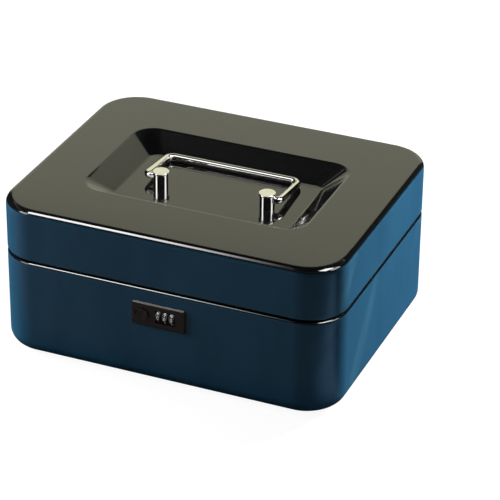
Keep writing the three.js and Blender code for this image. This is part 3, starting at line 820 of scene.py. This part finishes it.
@dataclass
class LowerShell(Shell):
    """The base: foot, walls, shoulder and the lip that the lid closes over."""

    foot: float = 8 * MM
    foot_steps: int = 12
    shoulder: float = 2 * MM
    shoulder_steps: int = 8
    lip_inset: float = 3.1 * MM
    lip_height: float = 7.3 * MM
    window: Pair = (15.2 * MM, 5.9 * MM)  # half its size along X and Z

    def build(self) -> None:
        """Build the base shell and hand it to the frame."""
        low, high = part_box("base_shell")
        top = high.z - self.lip_height
        piece = self.upright_block("base_enamelled_shell", low, Vector((high.x, high.y, top)))
        with editing(piece):
            pick(Pick.EDGES, all_at(Axis.Z, low.z))
            bevel(self.foot, self.foot_steps)
            pick(Pick.FACES, all_at(Axis.Z, top))
            bpy.ops.mesh.inset(thickness=self.lip_inset)
            extrude(0, 0, self.lip_height)
            pick(Pick.FACES, all_at(Axis.Z, high.z))
            bpy.ops.mesh.delete(type="ONLY_FACE")
            pick(Pick.EDGES, self.outline_at(top))
            bevel(self.shoulder, self.shoulder_steps)
        self.wall(piece, True)
        combine(piece, Mix.CUT, self.lock_window(), *self.hinge_notches(top))
        finish_edges(piece, self.edge_break)
        mount(piece, BASE_ENAMEL, "base", "base_shell")

    def lock_window(self) -> Object:
        """Make the cutter for the lock's window in the front wall.

        Returns:
            The cutter.
        """
        low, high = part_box("lock_bezel")
        middle = (low + high) / 2
        half_x, half_z = self.window
        return block(
            "window_cutter",
            (middle.x - half_x, -FRONT - OVERRUN, middle.z - half_z),
            (middle.x + half_x, -FRONT + self.sheet + OVERRUN, middle.z + half_z),
        )

    def hinge_notches(self, top: float) -> Iterator[Object]:
        """Make the cutters for the hinges' barrels.

        Args:
            top: Height of the shoulder.

        Yields:
            Each cutter.
        """
        for side, left, right, middle, radius in self.barrels():
            low = (left, middle.y - radius, middle.z - radius)
            yield block(f"notch_{side}", low, (right, FRONT + OVERRUN, top + OVERRUN))


@dataclass
class Lid(Shell):
    """The lid: rounded rim, folded hem and the recess pressed into its top."""

    rim_radius: float = 4 * MM
    rim_steps: int = 10
    hem_depth: float = 2.4 * MM
    hem_height: float = 6 * MM
    hem_radius: float = 1 * MM
    hem_steps: int = 6
    recess_margin: Pair = (34 * MM, 38.4 * MM)
    recess_depth: float = 9 * MM
    recess_run: float = 12.91 * MM
    recess_slope: float = math.radians(40)
    recess_edge: float = 3 * MM
    recess_edge_steps: int = 8
    recess_rim_corner: float = 13 * MM
    recess_floor_corner: float = 6 * MM

    def build(self) -> None:
        """Build the lid shell and hand it to the frame."""
        low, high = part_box("lid_shell")
        piece = self.upright_block("lid_enamelled_shell", low, high)
        halves = (high.x - self.recess_margin[0], high.y - self.recess_margin[1])
        floor = high.z - self.recess_depth
        low_halves = [half - self.recess_run for half in halves]
        join(
            piece,
            rounded_plate(*halves, self.recess_rim_corner, high.z, self.corner_steps),
            rounded_plate(*low_halves, self.recess_floor_corner, floor, self.corner_steps),
        )

        def recess(edge: BMEdge) -> bool:
            """Say whether an edge follows the recess's rim or its floor."""
            level = all_at(Axis.Z, high.z)(edge) or all_at(Axis.Z, floor)(edge)
            return level and all(abs(c) < h + TOUCH for v in edge.verts for c, h in zip(v.co, halves))

        def hem(edge: BMEdge) -> bool:
            """Say whether an edge follows the hem's outer or inner lower edge."""
            return self.outline_at(low.z)(edge) or self.outline_at(low.z, self.hem_depth)(edge)

        with editing(piece):
            pick(Pick.FACES, all_at(Axis.Z, low.z))
            bpy.ops.mesh.inset(thickness=self.hem_depth)
            extrude(0, 0, self.hem_height)
            bpy.ops.mesh.delete(type="ONLY_FACE")
            pick(Pick.FACES, all_at(Axis.Z, high.z))
            bpy.ops.mesh.delete(type="ONLY_FACE")
            pick(Pick.EDGES, all_at(Axis.Z, high.z))
            bpy.ops.mesh.bridge_edge_loops()
            pick(Pick.EDGES, recess)
            bpy.ops.mesh.bridge_edge_loops()
            pick(Pick.EDGES, self.outline_at(high.z))
            bevel(self.rim_radius, self.rim_steps)
            pick(Pick.EDGES, hem)
            bevel(self.hem_radius, self.hem_steps)
            pick(Pick.EDGES, recess)
            bevel(self.recess_edge * math.tan(self.recess_slope / 2), self.recess_edge_steps)
        self.wall(piece, False)
        combine(piece, Mix.CUT, *self.hinge_notches(low.z))
        finish_edges(piece, self.edge_break)
        mount(piece, LID_ENAMEL, "lid", "lid_shell")

    def hinge_notches(self, bottom: float) -> Iterator[Object]:
        """Make the cutters for the hinges' barrels.

        Args:
            bottom: Height of the lid's lower edge.

        Yields:
            Each cutter.
        """
        front = FRONT - self.hem_depth - OVERRUN
        hem_top = bottom + self.hem_height + OVERRUN
        for side, left, right, middle, radius in self.barrels():
            back = (right, FRONT + OVERRUN, middle.z + radius)
            yield block(f"lid_notch_{side}", (left, front, bottom - OVERRUN), back)
            inside = (right, FRONT - self.sheet, hem_top)
            yield block(f"hem_notch_{side}", (left, front, bottom), inside)


@dataclass
class Handle:
    """Two posts on the recess's floor and the wire that folds between them."""

    cap_height: float = 1.3 * MM
    cap_radius: float = 4.8 * MM
    cap_break: float = 0.35 * MM
    cap_steps: int = 4
    post_radius: float = 4.3 * MM
    post_sides: int = 96
    stud_radius: float = 1.5 * MM
    stud_length: float = 3.8 * MM
    wire: float = 2 * MM
    wire_sides: int = 40
    bore_gap: float = 0.3 * MM
    bore_sides: int = 48
    pivot_rise: float = 5.2 * MM
    leg_engagement: float = 3.6 * MM
    leg_bend: float = 2.6 * MM
    grip_bend: float = 4.6 * MM
    bend_steps: int = 12
    post_break: float = 0.1 * MM
    wire_break: float = 0.2 * MM
    nut_break: float = 0.12 * MM

    def build(self) -> None:
        """Build the posts and the wire and hand them to the frame."""
        for side in SIDES:
            self.post(side)
            for part in ("washer", "nut"):
                node = f"handle_{part}_{side}"
                copy = refined_copy(node, f"zinc_{part}_{side}", self.nut_break)
                mount(copy, ZINC, "lid", node)
        self.bail()

    def post(self, side: str) -> None:
        """Build one post with its cap, stud and the bore for the wire.

        Args:
            side: left or right.
        """
        low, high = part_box(f"handle_post_{side}")
        x, y = (low.x + high.x) / 2, (low.y + high.y) / 2
        floor, cap = low.z + self.stud_length, high.z - self.cap_height
        name = f"chrome_post_{side}"
        piece = rod(name, self.post_radius, (x, y, floor), (x, y, cap), self.post_sides)
        with editing(piece, Pick.FACES):
            pick(Pick.FACES, all_at(Axis.Z, cap))
            extrude(0, 0, 0)
            grow = self.cap_radius / self.post_radius
            bpy.ops.transform.resize(value=(grow, grow, 1), center_override=(x, y, cap))
            extrude(0, 0, self.cap_height)
            pick(Pick.FACES, all_at(Axis.Z, floor))
            bpy.ops.mesh.inset(thickness=self.post_radius - self.stud_radius)
            extrude(0, 0, -self.stud_length)
            pick(Pick.EDGES, all_at(Axis.Z, high.z))
            bevel(self.cap_break, self.cap_steps)
        outer = 1 if side == "right" else -1
        pivot = floor + self.pivot_rise
        inner = x + outer * (self.post_radius - self.leg_engagement - self.wire)
        mouth = x + outer * (self.post_radius + OVERRUN)
        radius = self.wire + self.bore_gap
        bore = rod("bore", radius, (inner, y, pivot), (mouth, y, pivot), self.bore_sides)
        combine(piece, Mix.CUT, bore)
        finish_edges(piece, self.post_break)
        mount(piece, CHROME, "lid", f"handle_post_{side}")

    def bail(self) -> None:
        """Bend the wire handle from a circle: straight runs extruded, bends spun."""
        low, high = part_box("bail_handle")
        pivot = Vector(next(j for j in frame["joints"] if j["name"] == "bail_swing")["pos_m"])
        run, drop = high.y - self.wire - pivot.y, low.z + self.wire - pivot.z
        reach = math.hypot(run, drop)
        half = (high.x - low.x) / 2 - self.wire
        post_low, post_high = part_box("handle_post_right")
        leg_end = (post_low.x + post_high.x) / 2 + self.post_radius - self.leg_engagement
        leg = half - self.leg_bend - leg_end
        arm = reach - self.leg_bend - self.grip_bend
        bpy.ops.mesh.primitive_circle_add(
            vertices=self.wire_sides,
            radius=self.wire,
            fill_type="NGON",
            rotation=(0, RIGHT_ANGLE, 0),
            location=(leg_end, 0, 0),
        )
        piece = bpy.context.object
        piece.name = "chrome_wire_handle"
        settle(piece)
        with editing(piece, Pick.FACES, whole=True):
            extrude(leg, 0, 0)
            self.bend(half - self.leg_bend, self.leg_bend)
            extrude(0, arm, 0)
            self.bend(half - self.grip_bend, reach - self.grip_bend)
            extrude(2 * self.grip_bend - 2 * half, 0, 0)
            self.bend(self.grip_bend - half, reach - self.grip_bend)
            extrude(0, -arm, 0)
            self.bend(self.leg_bend - half, self.leg_bend)
            extrude(leg, 0, 0)
        piece.location = ((low.x + high.x) / 2, pivot.y, pivot.z)
        piece.rotation_euler = Euler((math.atan2(drop, run), 0, 0))
        settle(piece)
        outward(piece)
        finish_edges(piece, self.wire_break)
        mount(piece, CHROME, "bail", "bail_handle")

    def bend(self, x: float, y: float) -> None:
        """Spin the wire's open end a quarter turn to the left round a centre."""
        steps, angle = self.bend_steps, RIGHT_ANGLE
        bpy.ops.mesh.spin(steps=steps, angle=angle, center=(x, y, 0), axis=(0, 0, -1))


@dataclass
class LockFront:
    """What shows of the lock: its plate, three number dials and the slide button."""

    thickness: float = 1.2 * MM
    bevel_width: float = 0.8 * MM
    corner: float = 1.2 * MM
    corner_steps: int = 8
    post_radius: float = 1.6 * MM
    post_rise: float = 3.9 * MM
    post_inset: float = 2.8 * MM
    post_sides: int = 32
    plate_break: float = 0.08 * MM
    dial_gap: float = 0.3 * MM
    dial_bore: float = 2.75 * MM
    bore_sides: int = 48
    flat_distance: float = 4 * MM
    digit_count: int = 10
    flat_share: float = 0.72
    groove_depth: float = 0.4 * MM
    groove_steps: int = 2
    groove_reach: float = 0.05  # in flats, how far off the middle a point is still moved
    digit_height: float = 2.1 * MM
    digit_relief: float = 0.03 * MM
    text_size: float = 1.38  # of a text object for digits one metre high
    button_thickness: float = 0.8 * MM
    button_dish: float = 0.35 * MM
    button_rings: int = 5
    button_land: float = 1.5  # flat middle of the dish, in rings
    stem_radius: float = 1.5 * MM
    stem_gap: float = 0.3 * MM
    slot_round: float = 0.98  # of a full round
    button_sides: int = 64
    latch_travel: float = 2.6 * MM
    edge_break: float = 0.12 * MM

    def build(self) -> None:
        """Build the lock's front and hand it to the frame."""
        self.plate()
        for number in DIALS:
            self.dial(number)
        self.button()

    def plate(self) -> None:
        """Build the plate with its windows for the dials and its slot for the button."""
        low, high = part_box("lock_bezel")
        face, back = low.y, low.y + self.thickness
        piece = block("lock_front_plate", low, (high.x, back, high.z))
        with editing(piece):
            pick(Pick.EDGES, runs_along(Axis.Y))
            bevel(self.corner, self.corner_steps)
            pick(Pick.EDGES, all_at(Axis.Y, face))
            bevel(self.bevel_width, segments=1)
        cutters = [self.dial_window(number, face, back) for number in DIALS]
        combine(piece, Mix.CUT, *cutters, self.button_slot(face, back))
        middle = (low.z + high.z) / 2
        for x, z in (
            (low.x + self.post_inset, middle - self.post_rise),
            (high.x - self.post_inset, middle + self.post_rise),
        ):
            start = (x, face + self.thickness / 2, z)
            post = rod("plate_post", self.post_radius, start, (x, high.y, z), self.post_sides)
            combine(piece, Mix.UNITE, post)
        finish_edges(piece, self.plate_break)
        mount(piece, LOCK_BLACK, "base", "lock_bezel")

    def dial_window(self, number: int, face: float, back: float) -> Object:
        """Make the cutter for one dial's window, as high as the dial is at the plate's back.

        Args:
            number: The dial's place from the left.
            face: The plate's front.
            back: The plate's back.

        Returns:
            The cutter.
        """
        low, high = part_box(f"dial_{number}")
        middle = (low + high) / 2
        half = math.sqrt((middle.z - low.z) ** 2 - (middle.y - back) ** 2) + self.dial_gap
        return block(
            f"dial_window_{number}",
            (low.x - self.dial_gap, face - OVERRUN, middle.z - half),
            (high.x + self.dial_gap, back + OVERRUN, middle.z + half),
        )

    def button_slot(self, face: float, back: float) -> Object:
        """Make the cutter for the slot that the button's stem slides in.

        Args:
            face: The plate's front.
            back: The plate's back.

        Returns:
            The cutter.
        """
        low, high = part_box("slide_button")
        middle = (low + high) / 2
        half = self.stem_radius + self.stem_gap
        slot = block(
            "stem_slot",
            (middle.x - self.latch_travel - half, face - OVERRUN, middle.z - half),
            (middle.x + half, back + OVERRUN, middle.z + half),
        )
        with editing(slot):
            pick(Pick.EDGES, runs_along(Axis.Y))
            bevel(half * self.slot_round, self.corner_steps)
        return slot

    def dial(self, number: int) -> None:
        """Build one dial: ten flats, a finger groove between them, and its digits.

        Args:
            number: Its place from the left.
        """
        low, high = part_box(f"dial_{number}")
        middle = (low + high) / 2
        y, z = middle.y, middle.z
        share = math.pi / self.digit_count
        radius = self.flat_distance / math.cos(share)
        name = f"dial_wheel_{number}"
        piece = rod(name, radius, (low.x, y, z), (high.x, y, z), self.digit_count)
        self.flat_to_front(piece, middle)
        chamfer = self.flat_distance * (math.tan(share) - math.tan(share * self.flat_share))
        groove = self.flat_distance - self.groove_depth

        def at_groove(vert: BMVert) -> bool:
            """Say whether a point is the middle between two flats.

            Args:
                vert: The point.

            Returns:
                Whether it is.
            """
            flats = math.atan2(vert.co.z - z, y - vert.co.y) / (2 * share)
            between = abs(abs(flats - round(flats)) - 0.5) < self.groove_reach
            return between and (vert.co - middle).yz.length > groove

        with editing(piece):
            pick(Pick.EDGES, runs_along(Axis.X))
            bevel(chamfer, self.groove_steps)
            pick(Pick.VERTS, at_groove)
            shrink = groove / self.flat_distance
            bpy.ops.transform.resize(value=(1, shrink, shrink), center_override=tuple(middle))
        ends = (low.x - OVERRUN, y, z), (high.x + OVERRUN, y, z)
        combine(piece, Mix.CUT, rod("dial_bore", self.dial_bore, *ends, self.bore_sides))
        finish_edges(piece, self.edge_break)
        mount(piece, DIAL_BLACK, f"dial_{number}", f"dial_{number}")
        self.digits(number, middle)

    def flat_to_front(self, wheel: Object, middle: Vector) -> None:
        """Turn a wheel about its own axis until one of its flats faces the front.

        Args:
            wheel: The mesh object.
            middle: Its middle.
        """
        step = 2 * math.pi / self.digit_count
        normal = next(f.normal for f in wheel.data.polygons if abs(f.normal.x) < 0.5)
        angle = math.atan2(normal.z, -normal.y)
        turn = Matrix.Rotation(angle - round(angle / step) * step, 4, "X")
        wheel.matrix_world = Matrix.Translation(middle) @ turn @ Matrix.Translation(-middle)
        settle(wheel)

    def digits(self, number: int, middle: Vector) -> None:
        """Build the raised white digits of one dial as one piece.

        Args:
            number: The dial's place from the left.
            middle: The dial's middle.
        """
        made = []
        stand = Matrix.Translation((0, -self.flat_distance, 0)) @ Matrix.Rotation(RIGHT_ANGLE, 4, "X")
        for digit in range(self.digit_count):
            bpy.ops.object.text_add()
            text = bpy.context.object
            text.data.body = str(digit)
            text.data.size = self.digit_height * self.text_size
            text.data.extrude = self.digit_relief
            text.data.align_x = "CENTER"
            text.data.align_y = "CENTER"
            bpy.ops.object.convert(target="MESH")
            turn = Matrix.Rotation(digit * 2 * math.pi / self.digit_count, 4, "X")
            text.matrix_world = Matrix.Translation(middle) @ turn @ stand
            settle(text)
            made.append(text)
        join(*made)
        made[0].name = f"dial_digits_{number}"
        outward(made[0])
        mount(made[0], DIGIT_WHITE, f"dial_{number}")

    def button(self) -> None:
        """Build the round slide button with its dished face."""
        low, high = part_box("slide_button")
        x, z = (low.x + high.x) / 2, (low.z + high.z) / 2
        radius = (high.z - low.z) / 2
        back = low.y + self.button_thickness
        piece = rod("lock_slide_button", radius, (x, back, z), (x, low.y, z), self.button_sides)
        step = RIGHT_ANGLE / self.button_rings
        width = radius / (self.button_rings + self.button_land)
        with editing(piece, Pick.FACES):
            pick(Pick.FACES, all_at(Axis.Y, low.y))
            for ring in range(self.button_rings):
                fall = math.cos(ring * step) - math.cos((ring + 1) * step)
                bpy.ops.mesh.inset(thickness=width, depth=-self.button_dish * fall)
            pick(Pick.FACES, all_at(Axis.Y, back))
            bpy.ops.mesh.inset(thickness=radius - self.stem_radius)
            extrude(0, high.y - back, 0)
        finish_edges(piece, self.edge_break)
        mount(piece, LOCK_BLACK, "latch", "slide_button")


@dataclass
class Carried:
    """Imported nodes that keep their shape, refined at their edges or dressed as they are."""

    edge_break: float = 0.12 * MM

    def build(self) -> None:
        """Refine what shows with the lid open or from behind, and dress the rest."""
        for side in SIDES:
            self.refine(ZINC, "base", f"hinge_base_leaf_{side}")
            self.refine(ZINC, "lid", f"hinge_lid_leaf_{side}")
            self.refine(STEEL, "base", f"hinge_pin_{side}", f"lock_screw_{side}")
        self.refine(ZINC, "base", "lock_housing", "lock_back_cover")
        self.refine(ZINC, "latch", "latch_slider")
        self.refine(ZINC, "lid", "lid_catch")
        self.refine(BRASS, "reset", "reset_lever")
        self.keep(BRASS, "code_sleeve_1", "code_sleeve_2", "code_sleeve_3")
        self.keep(STEEL, "code_shaft", "latch_spring", "detent_spring")

    def refine(self, finish: Finish, body: str, *nodes: str) -> None:
        """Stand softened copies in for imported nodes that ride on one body."""
        for node in nodes:
            mount(refined_copy(node, f"{node}_fine", self.edge_break), finish, body, node)

    def keep(self, finish: Finish, *nodes: str) -> None:
        """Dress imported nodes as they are.

        Args:
            finish: Their finish.
            nodes: Their names.
        """
        for node in nodes:
            dress(frame["nodes"][node], finish.material())
            log.info("%s: packed node kept", node)


# Studio


class LampKind(Enum):
    """A soft area lamp or a spotlight."""

    AREA = "AREA"
    SPOT = "SPOT"


class Reach(Enum):
    """Whether a light reaches only the pieces of its finishes, or all the others."""

    ONLY = "INCLUDE"
    OTHERS = "EXCLUDE"


def limit_light(light: Object, reach: Reach, *finishes: Finish) -> None:
    """Limit a lamp or a card to some pieces by light linking.

    Args:
        light: The lamp or the card.
        reach: Whether it reaches the pieces of the finishes or all the others.
        finishes: The finishes.
    """
    names = {finish.name for finish in finishes}
    group = bpy.data.collections.new(light.name + "_pieces")
    for piece in bpy.context.scene.objects:
        if piece.type == "MESH" and names & set(piece.data.materials.keys()):
            group.objects.link(piece)
    for entry in group.collection_objects:
        entry.light_linking.link_state = reach.value
    light.light_linking.receiver_collection = group


def hang_lamp(
    name: str, kind: LampKind, place: Sequence[float], aim: Sequence[float], **settings: object
) -> Object:
    """Hang a lamp that the camera and reflections don't show.

    Args:
        name: The lamp's name.
        kind: What kind of lamp.
        place: Where it hangs.
        aim: The point that it faces.
        settings: Its settings.

    Returns:
        The lamp.
    """
    data = bpy.data.lights.new(name, kind.value)
    for key, value in settings.items():
        setattr(data, key, value)
    lamp = bpy.data.objects.new(name, data)
    bpy.context.scene.collection.objects.link(lamp)
    turn = (Vector(aim) - Vector(place)).to_track_quat("-Z", "Y").to_matrix().to_4x4()
    lamp.matrix_world = Matrix.Translation(place) @ turn
    lamp.visible_camera = False
    lamp.visible_glossy = False
    return lamp


@dataclass
class Card:
    """A studio card that only reflections see, dark or alight."""

    name: str
    place: Sequence[float]
    turn: Pair  # degrees about X, then about Z
    size: Pair
    colour: Colour = BLACK
    level: float = 0.0
    fade: Sequence[float] = (0, 0, 0, 0)  # share at its left, right, low and high end
    chrome: Reach | None = None  # whether chrome alone shows it, or all but chrome

    def build(self) -> None:
        bpy.ops.mesh.primitive_plane_add(size=1, location=self.place)
        card = bpy.context.object
        card.name = self.name
        card.scale = (*self.size, 1)
        card.rotation_euler = Euler((math.radians(self.turn[0]), 0, math.radians(self.turn[1])))
        dress(card, self.material())
        card.visible_camera = False
        card.visible_diffuse = False
        card.visible_shadow = False
        card.visible_transmission = False
        if self.chrome:
            limit_light(card, self.chrome, CHROME)

    def material(self) -> Material:
        """Make the card's material, alight at its level and fading towards its ends.

        Returns:
            The material.
        """
        shader = Shader(self.name + "_cloth")
        places = shader.split("UV")
        glow = self.level
        sharp = 0.001  # a fade of nothing
        margin = 0.01  # how far past the card's end a fade starts
        for axis, start, end in (("X", *self.fade[:2]), ("Y", *self.fade[2:])):
            rising = shader.spread(places[axis], 0, 1, -margin, max(start, sharp))
            falling = shader.spread(places[axis], 1, 0, 1 - max(end, sharp), 1 + margin)
            glow = shader.maths("MULTIPLY", glow, shader.maths("MULTIPLY", rising, falling))
        shader.light_up(BLACK, self.colour, glow)
        return shader.material


PALE = tone(0.86, 0.86, 0.65)

CARDS = (
    Card("table_card", (0, 0, -0.1 * MM), (0, 0), (3.4, 3.4)),
    Card("back_card", (0, 1.7, 0.8), (90, 0), (3.4, 1.6)),
    Card("front_card", (0, -1.7, 0.8), (90, 0), (3.4, 1.6)),
    Card("left_card", (-1.7, 0, 0.8), (90, 90), (3.4, 1.6)),
    Card("right_card", (1.7, 0, 0.8), (90, 90), (3.4, 1.6)),
    Card("top_card", (0, 0, 1.7), (0, 0), (3.4, 3.4), WHITE, 0.04),
    Card(
        "front_floor", (-0.3, -0.85, 0.1 * MM), (0, 0), (1.8, 1.5),
        tone(1, 0.78, 0.66), 0.95, (0, 0.9, 0, 0),
    ),
    Card(
        "corner_floor", (0.22, -0.082, 0.1 * MM), (0, 0), (0.24, 0.07),
        tone(0.45, 0.7, 1), 2.2, (0.1, 0.2, 0.3, 0.3),
    ),
    Card("pale_panel", (-0.123, 0.28, 0.241), (90, 0), (0.434, 0.142), PALE, 1.0),
    Card(
        "edge_light", (-0.56, -0.6, 1.2), (27, 0), (0.46, 0.85),
        WHITE, 26, (0.05, 0.5, 0.25, 0.25), Reach.OTHERS,
    ),
    Card(
        "bar_light", (-0.04, -0.03, 0.19), (27, 0), (0.2, 0.075),
        WHITE, 3, (0.15, 0.15, 0.5, 0.5), Reach.ONLY,
    ),
    Card("corner_light", (0.79, -0.125, 1.11), (38, 99), (0.6, 0.48), WHITE, 26),
    Card("side_light", (1.12, 0.1, 0.74), (60, 95), (0.56, 0.4), WHITE, 8),
    Card("post_light", (-0.866, -0.753, 0.695), (62, -49), (0.48, 0.36), WHITE, 9),
    Card("horizon_light", (-0.7, 1.6, 0.4), (90, 0), (1.96, 0.8), PALE, 0.8),
)


@dataclass
class Studio:
    """Camera at the photograph's viewing angle, pale floor, lamps and cards."""

    azimuth: float = math.radians(22.373)
    elevation: float = math.radians(28.955)
    roll: float = math.radians(0.686)
    distance: float = 1383.79 * MM
    side_step: float = 18.163 * MM
    target_height: float = 43.657 * MM
    lens: float = 176.4
    sensor: float = 36.0
    clip: Pair = (0.05, 50)
    air_light: float = 0.06
    floor_half: float = 6.0
    floor_drop: float = 0.3 * MM
    floor_colour: Colour = tone(0.2, 0.2, 0.2)
    floor_glow: float = 0.93
    softboxes: tuple = (  # name, place, width and height, watts
        ("right_softbox", (0.4, 0.6, 0.2), (0.12, 0.2), 11.6),
        ("rim_softbox", (-0.9, 0.1, 0.3), (0.3, 0.3), 7),
        ("left_softbox", (-0.6, -0.2, 0.3), (0.2, 0.3), 1.95),
    )
    softbox_aim: tuple[float, ...] = (0, 0, 45 * MM)
    spot_place: tuple[float, ...] = (-0.35, -0.85, 0.6)
    spot_aim: tuple[float, ...] = (4 * MM, -81 * MM, 43 * MM)  # the dials
    spot_round: float = 9 * MM  # radius of its round there
    spot_watts: float = 15
    spot_blend: float = 0.2
    spot_bulb: float = 2 * MM

    def build(self) -> None:
        """Set the whole studio up."""
        bpy.context.scene.view_settings.view_transform = "Standard"
        self.camera()
        self.world()
        self.floor()
        self.lamps()
        for card in CARDS:
            card.build()

    def camera(self) -> None:
        """Place the camera as it stood for the photograph."""
        turn = Euler((RIGHT_ANGLE - self.elevation, 0, self.azimuth)).to_matrix()
        right, back = turn.col[0], turn.col[2]
        target = right * self.side_step + Vector((0, 0, self.target_height))
        data = bpy.data.cameras.new("photo_camera")
        data.sensor_width = self.sensor
        data.lens = self.lens
        data.clip_start, data.clip_end = self.clip
        eye = bpy.data.objects.new("photo_camera", data)
        bpy.context.scene.collection.objects.link(eye)
        rolled = (turn @ Matrix.Rotation(self.roll, 3, "Z")).to_4x4()
        eye.matrix_world = Matrix.Translation(target + back * self.distance) @ rolled
        bpy.context.scene.camera = eye

    def seen(self, tree: bpy.types.NodeTree) -> NodeSocket:
        """Add the share of rays that see the background: the camera's, glossy and transmitted ones.

        Args:
            tree: The node tree to add it to.

        Returns:
            1 for those rays and 0 for the rest.
        """
        rays = tree.nodes.new("ShaderNodeLightPath")
        total = rays.outputs["Is Camera Ray"]
        for name in ("Is Glossy Ray", "Is Transmission Ray"):
            either = tree.nodes.new("ShaderNodeMath")
            either.operation = "MAXIMUM"
            tree.links.new(total, either.inputs[0])
            tree.links.new(rays.outputs[name], either.inputs[1])
            total = either.outputs["Value"]
        return total

    def world(self) -> None:
        """Make the world white to the rays that see it and dim as a light."""
        world = bpy.data.worlds.new("studio_air")
        world.use_nodes = True
        bpy.context.scene.world = world
        tree = world.node_tree
        air = tree.nodes["Background"]
        air.inputs["Color"].default_value = WHITE
        level = tree.nodes.new("ShaderNodeMapRange")
        level.inputs["To Min"].default_value = self.air_light
        level.inputs["To Max"].default_value = 1.0
        tree.links.new(self.seen(tree), level.inputs["Value"])
        tree.links.new(level.outputs["Result"], air.inputs["Strength"])

    def floor(self) -> None:
        """Lay a pale floor that keeps a soft shadow."""
        place = (0, 0, -self.floor_drop)
        bpy.ops.mesh.primitive_plane_add(size=2 * self.floor_half, location=place)
        floor = bpy.context.object
        floor.name = "studio_floor"
        shader = Shader("pale_floor")
        glow = shader.maths("MULTIPLY", self.seen(shader.tree), self.floor_glow)
        shader.light_up(self.floor_colour, WHITE, glow)
        dress(floor, shader.material)

    def lamps(self) -> None:
        """Hang three soft lamps round the box and a spotlight over the dials alone."""
        for name, place, (width, height), watts in self.softboxes:
            shape = {"shape": "RECTANGLE", "size": width, "size_y": height}
            hang_lamp(name, LampKind.AREA, place, self.softbox_aim, energy=watts, **shape)
        reach = (Vector(self.spot_aim) - Vector(self.spot_place)).length
        spot = hang_lamp(
            "dial_spot",
            LampKind.SPOT,
            self.spot_place,
            self.spot_aim,
            energy=self.spot_watts,
            spot_size=2 * math.atan(self.spot_round / reach),
            spot_blend=self.spot_blend,
            shadow_soft_size=self.spot_bulb,
        )
        limit_light(spot, Reach.ONLY, DIAL_BLACK, DIGIT_WHITE)


def main() -> None:
    """Build the box's looks round the frame, and the studio."""
    logging.basicConfig(level=logging.INFO, format="%(name)s: %(message)s")
    for part in (LowerShell(), Lid(), Handle(), LockFront(), Carried(), Studio()):
        part.build()


if __name__ == "__main__":
    main()
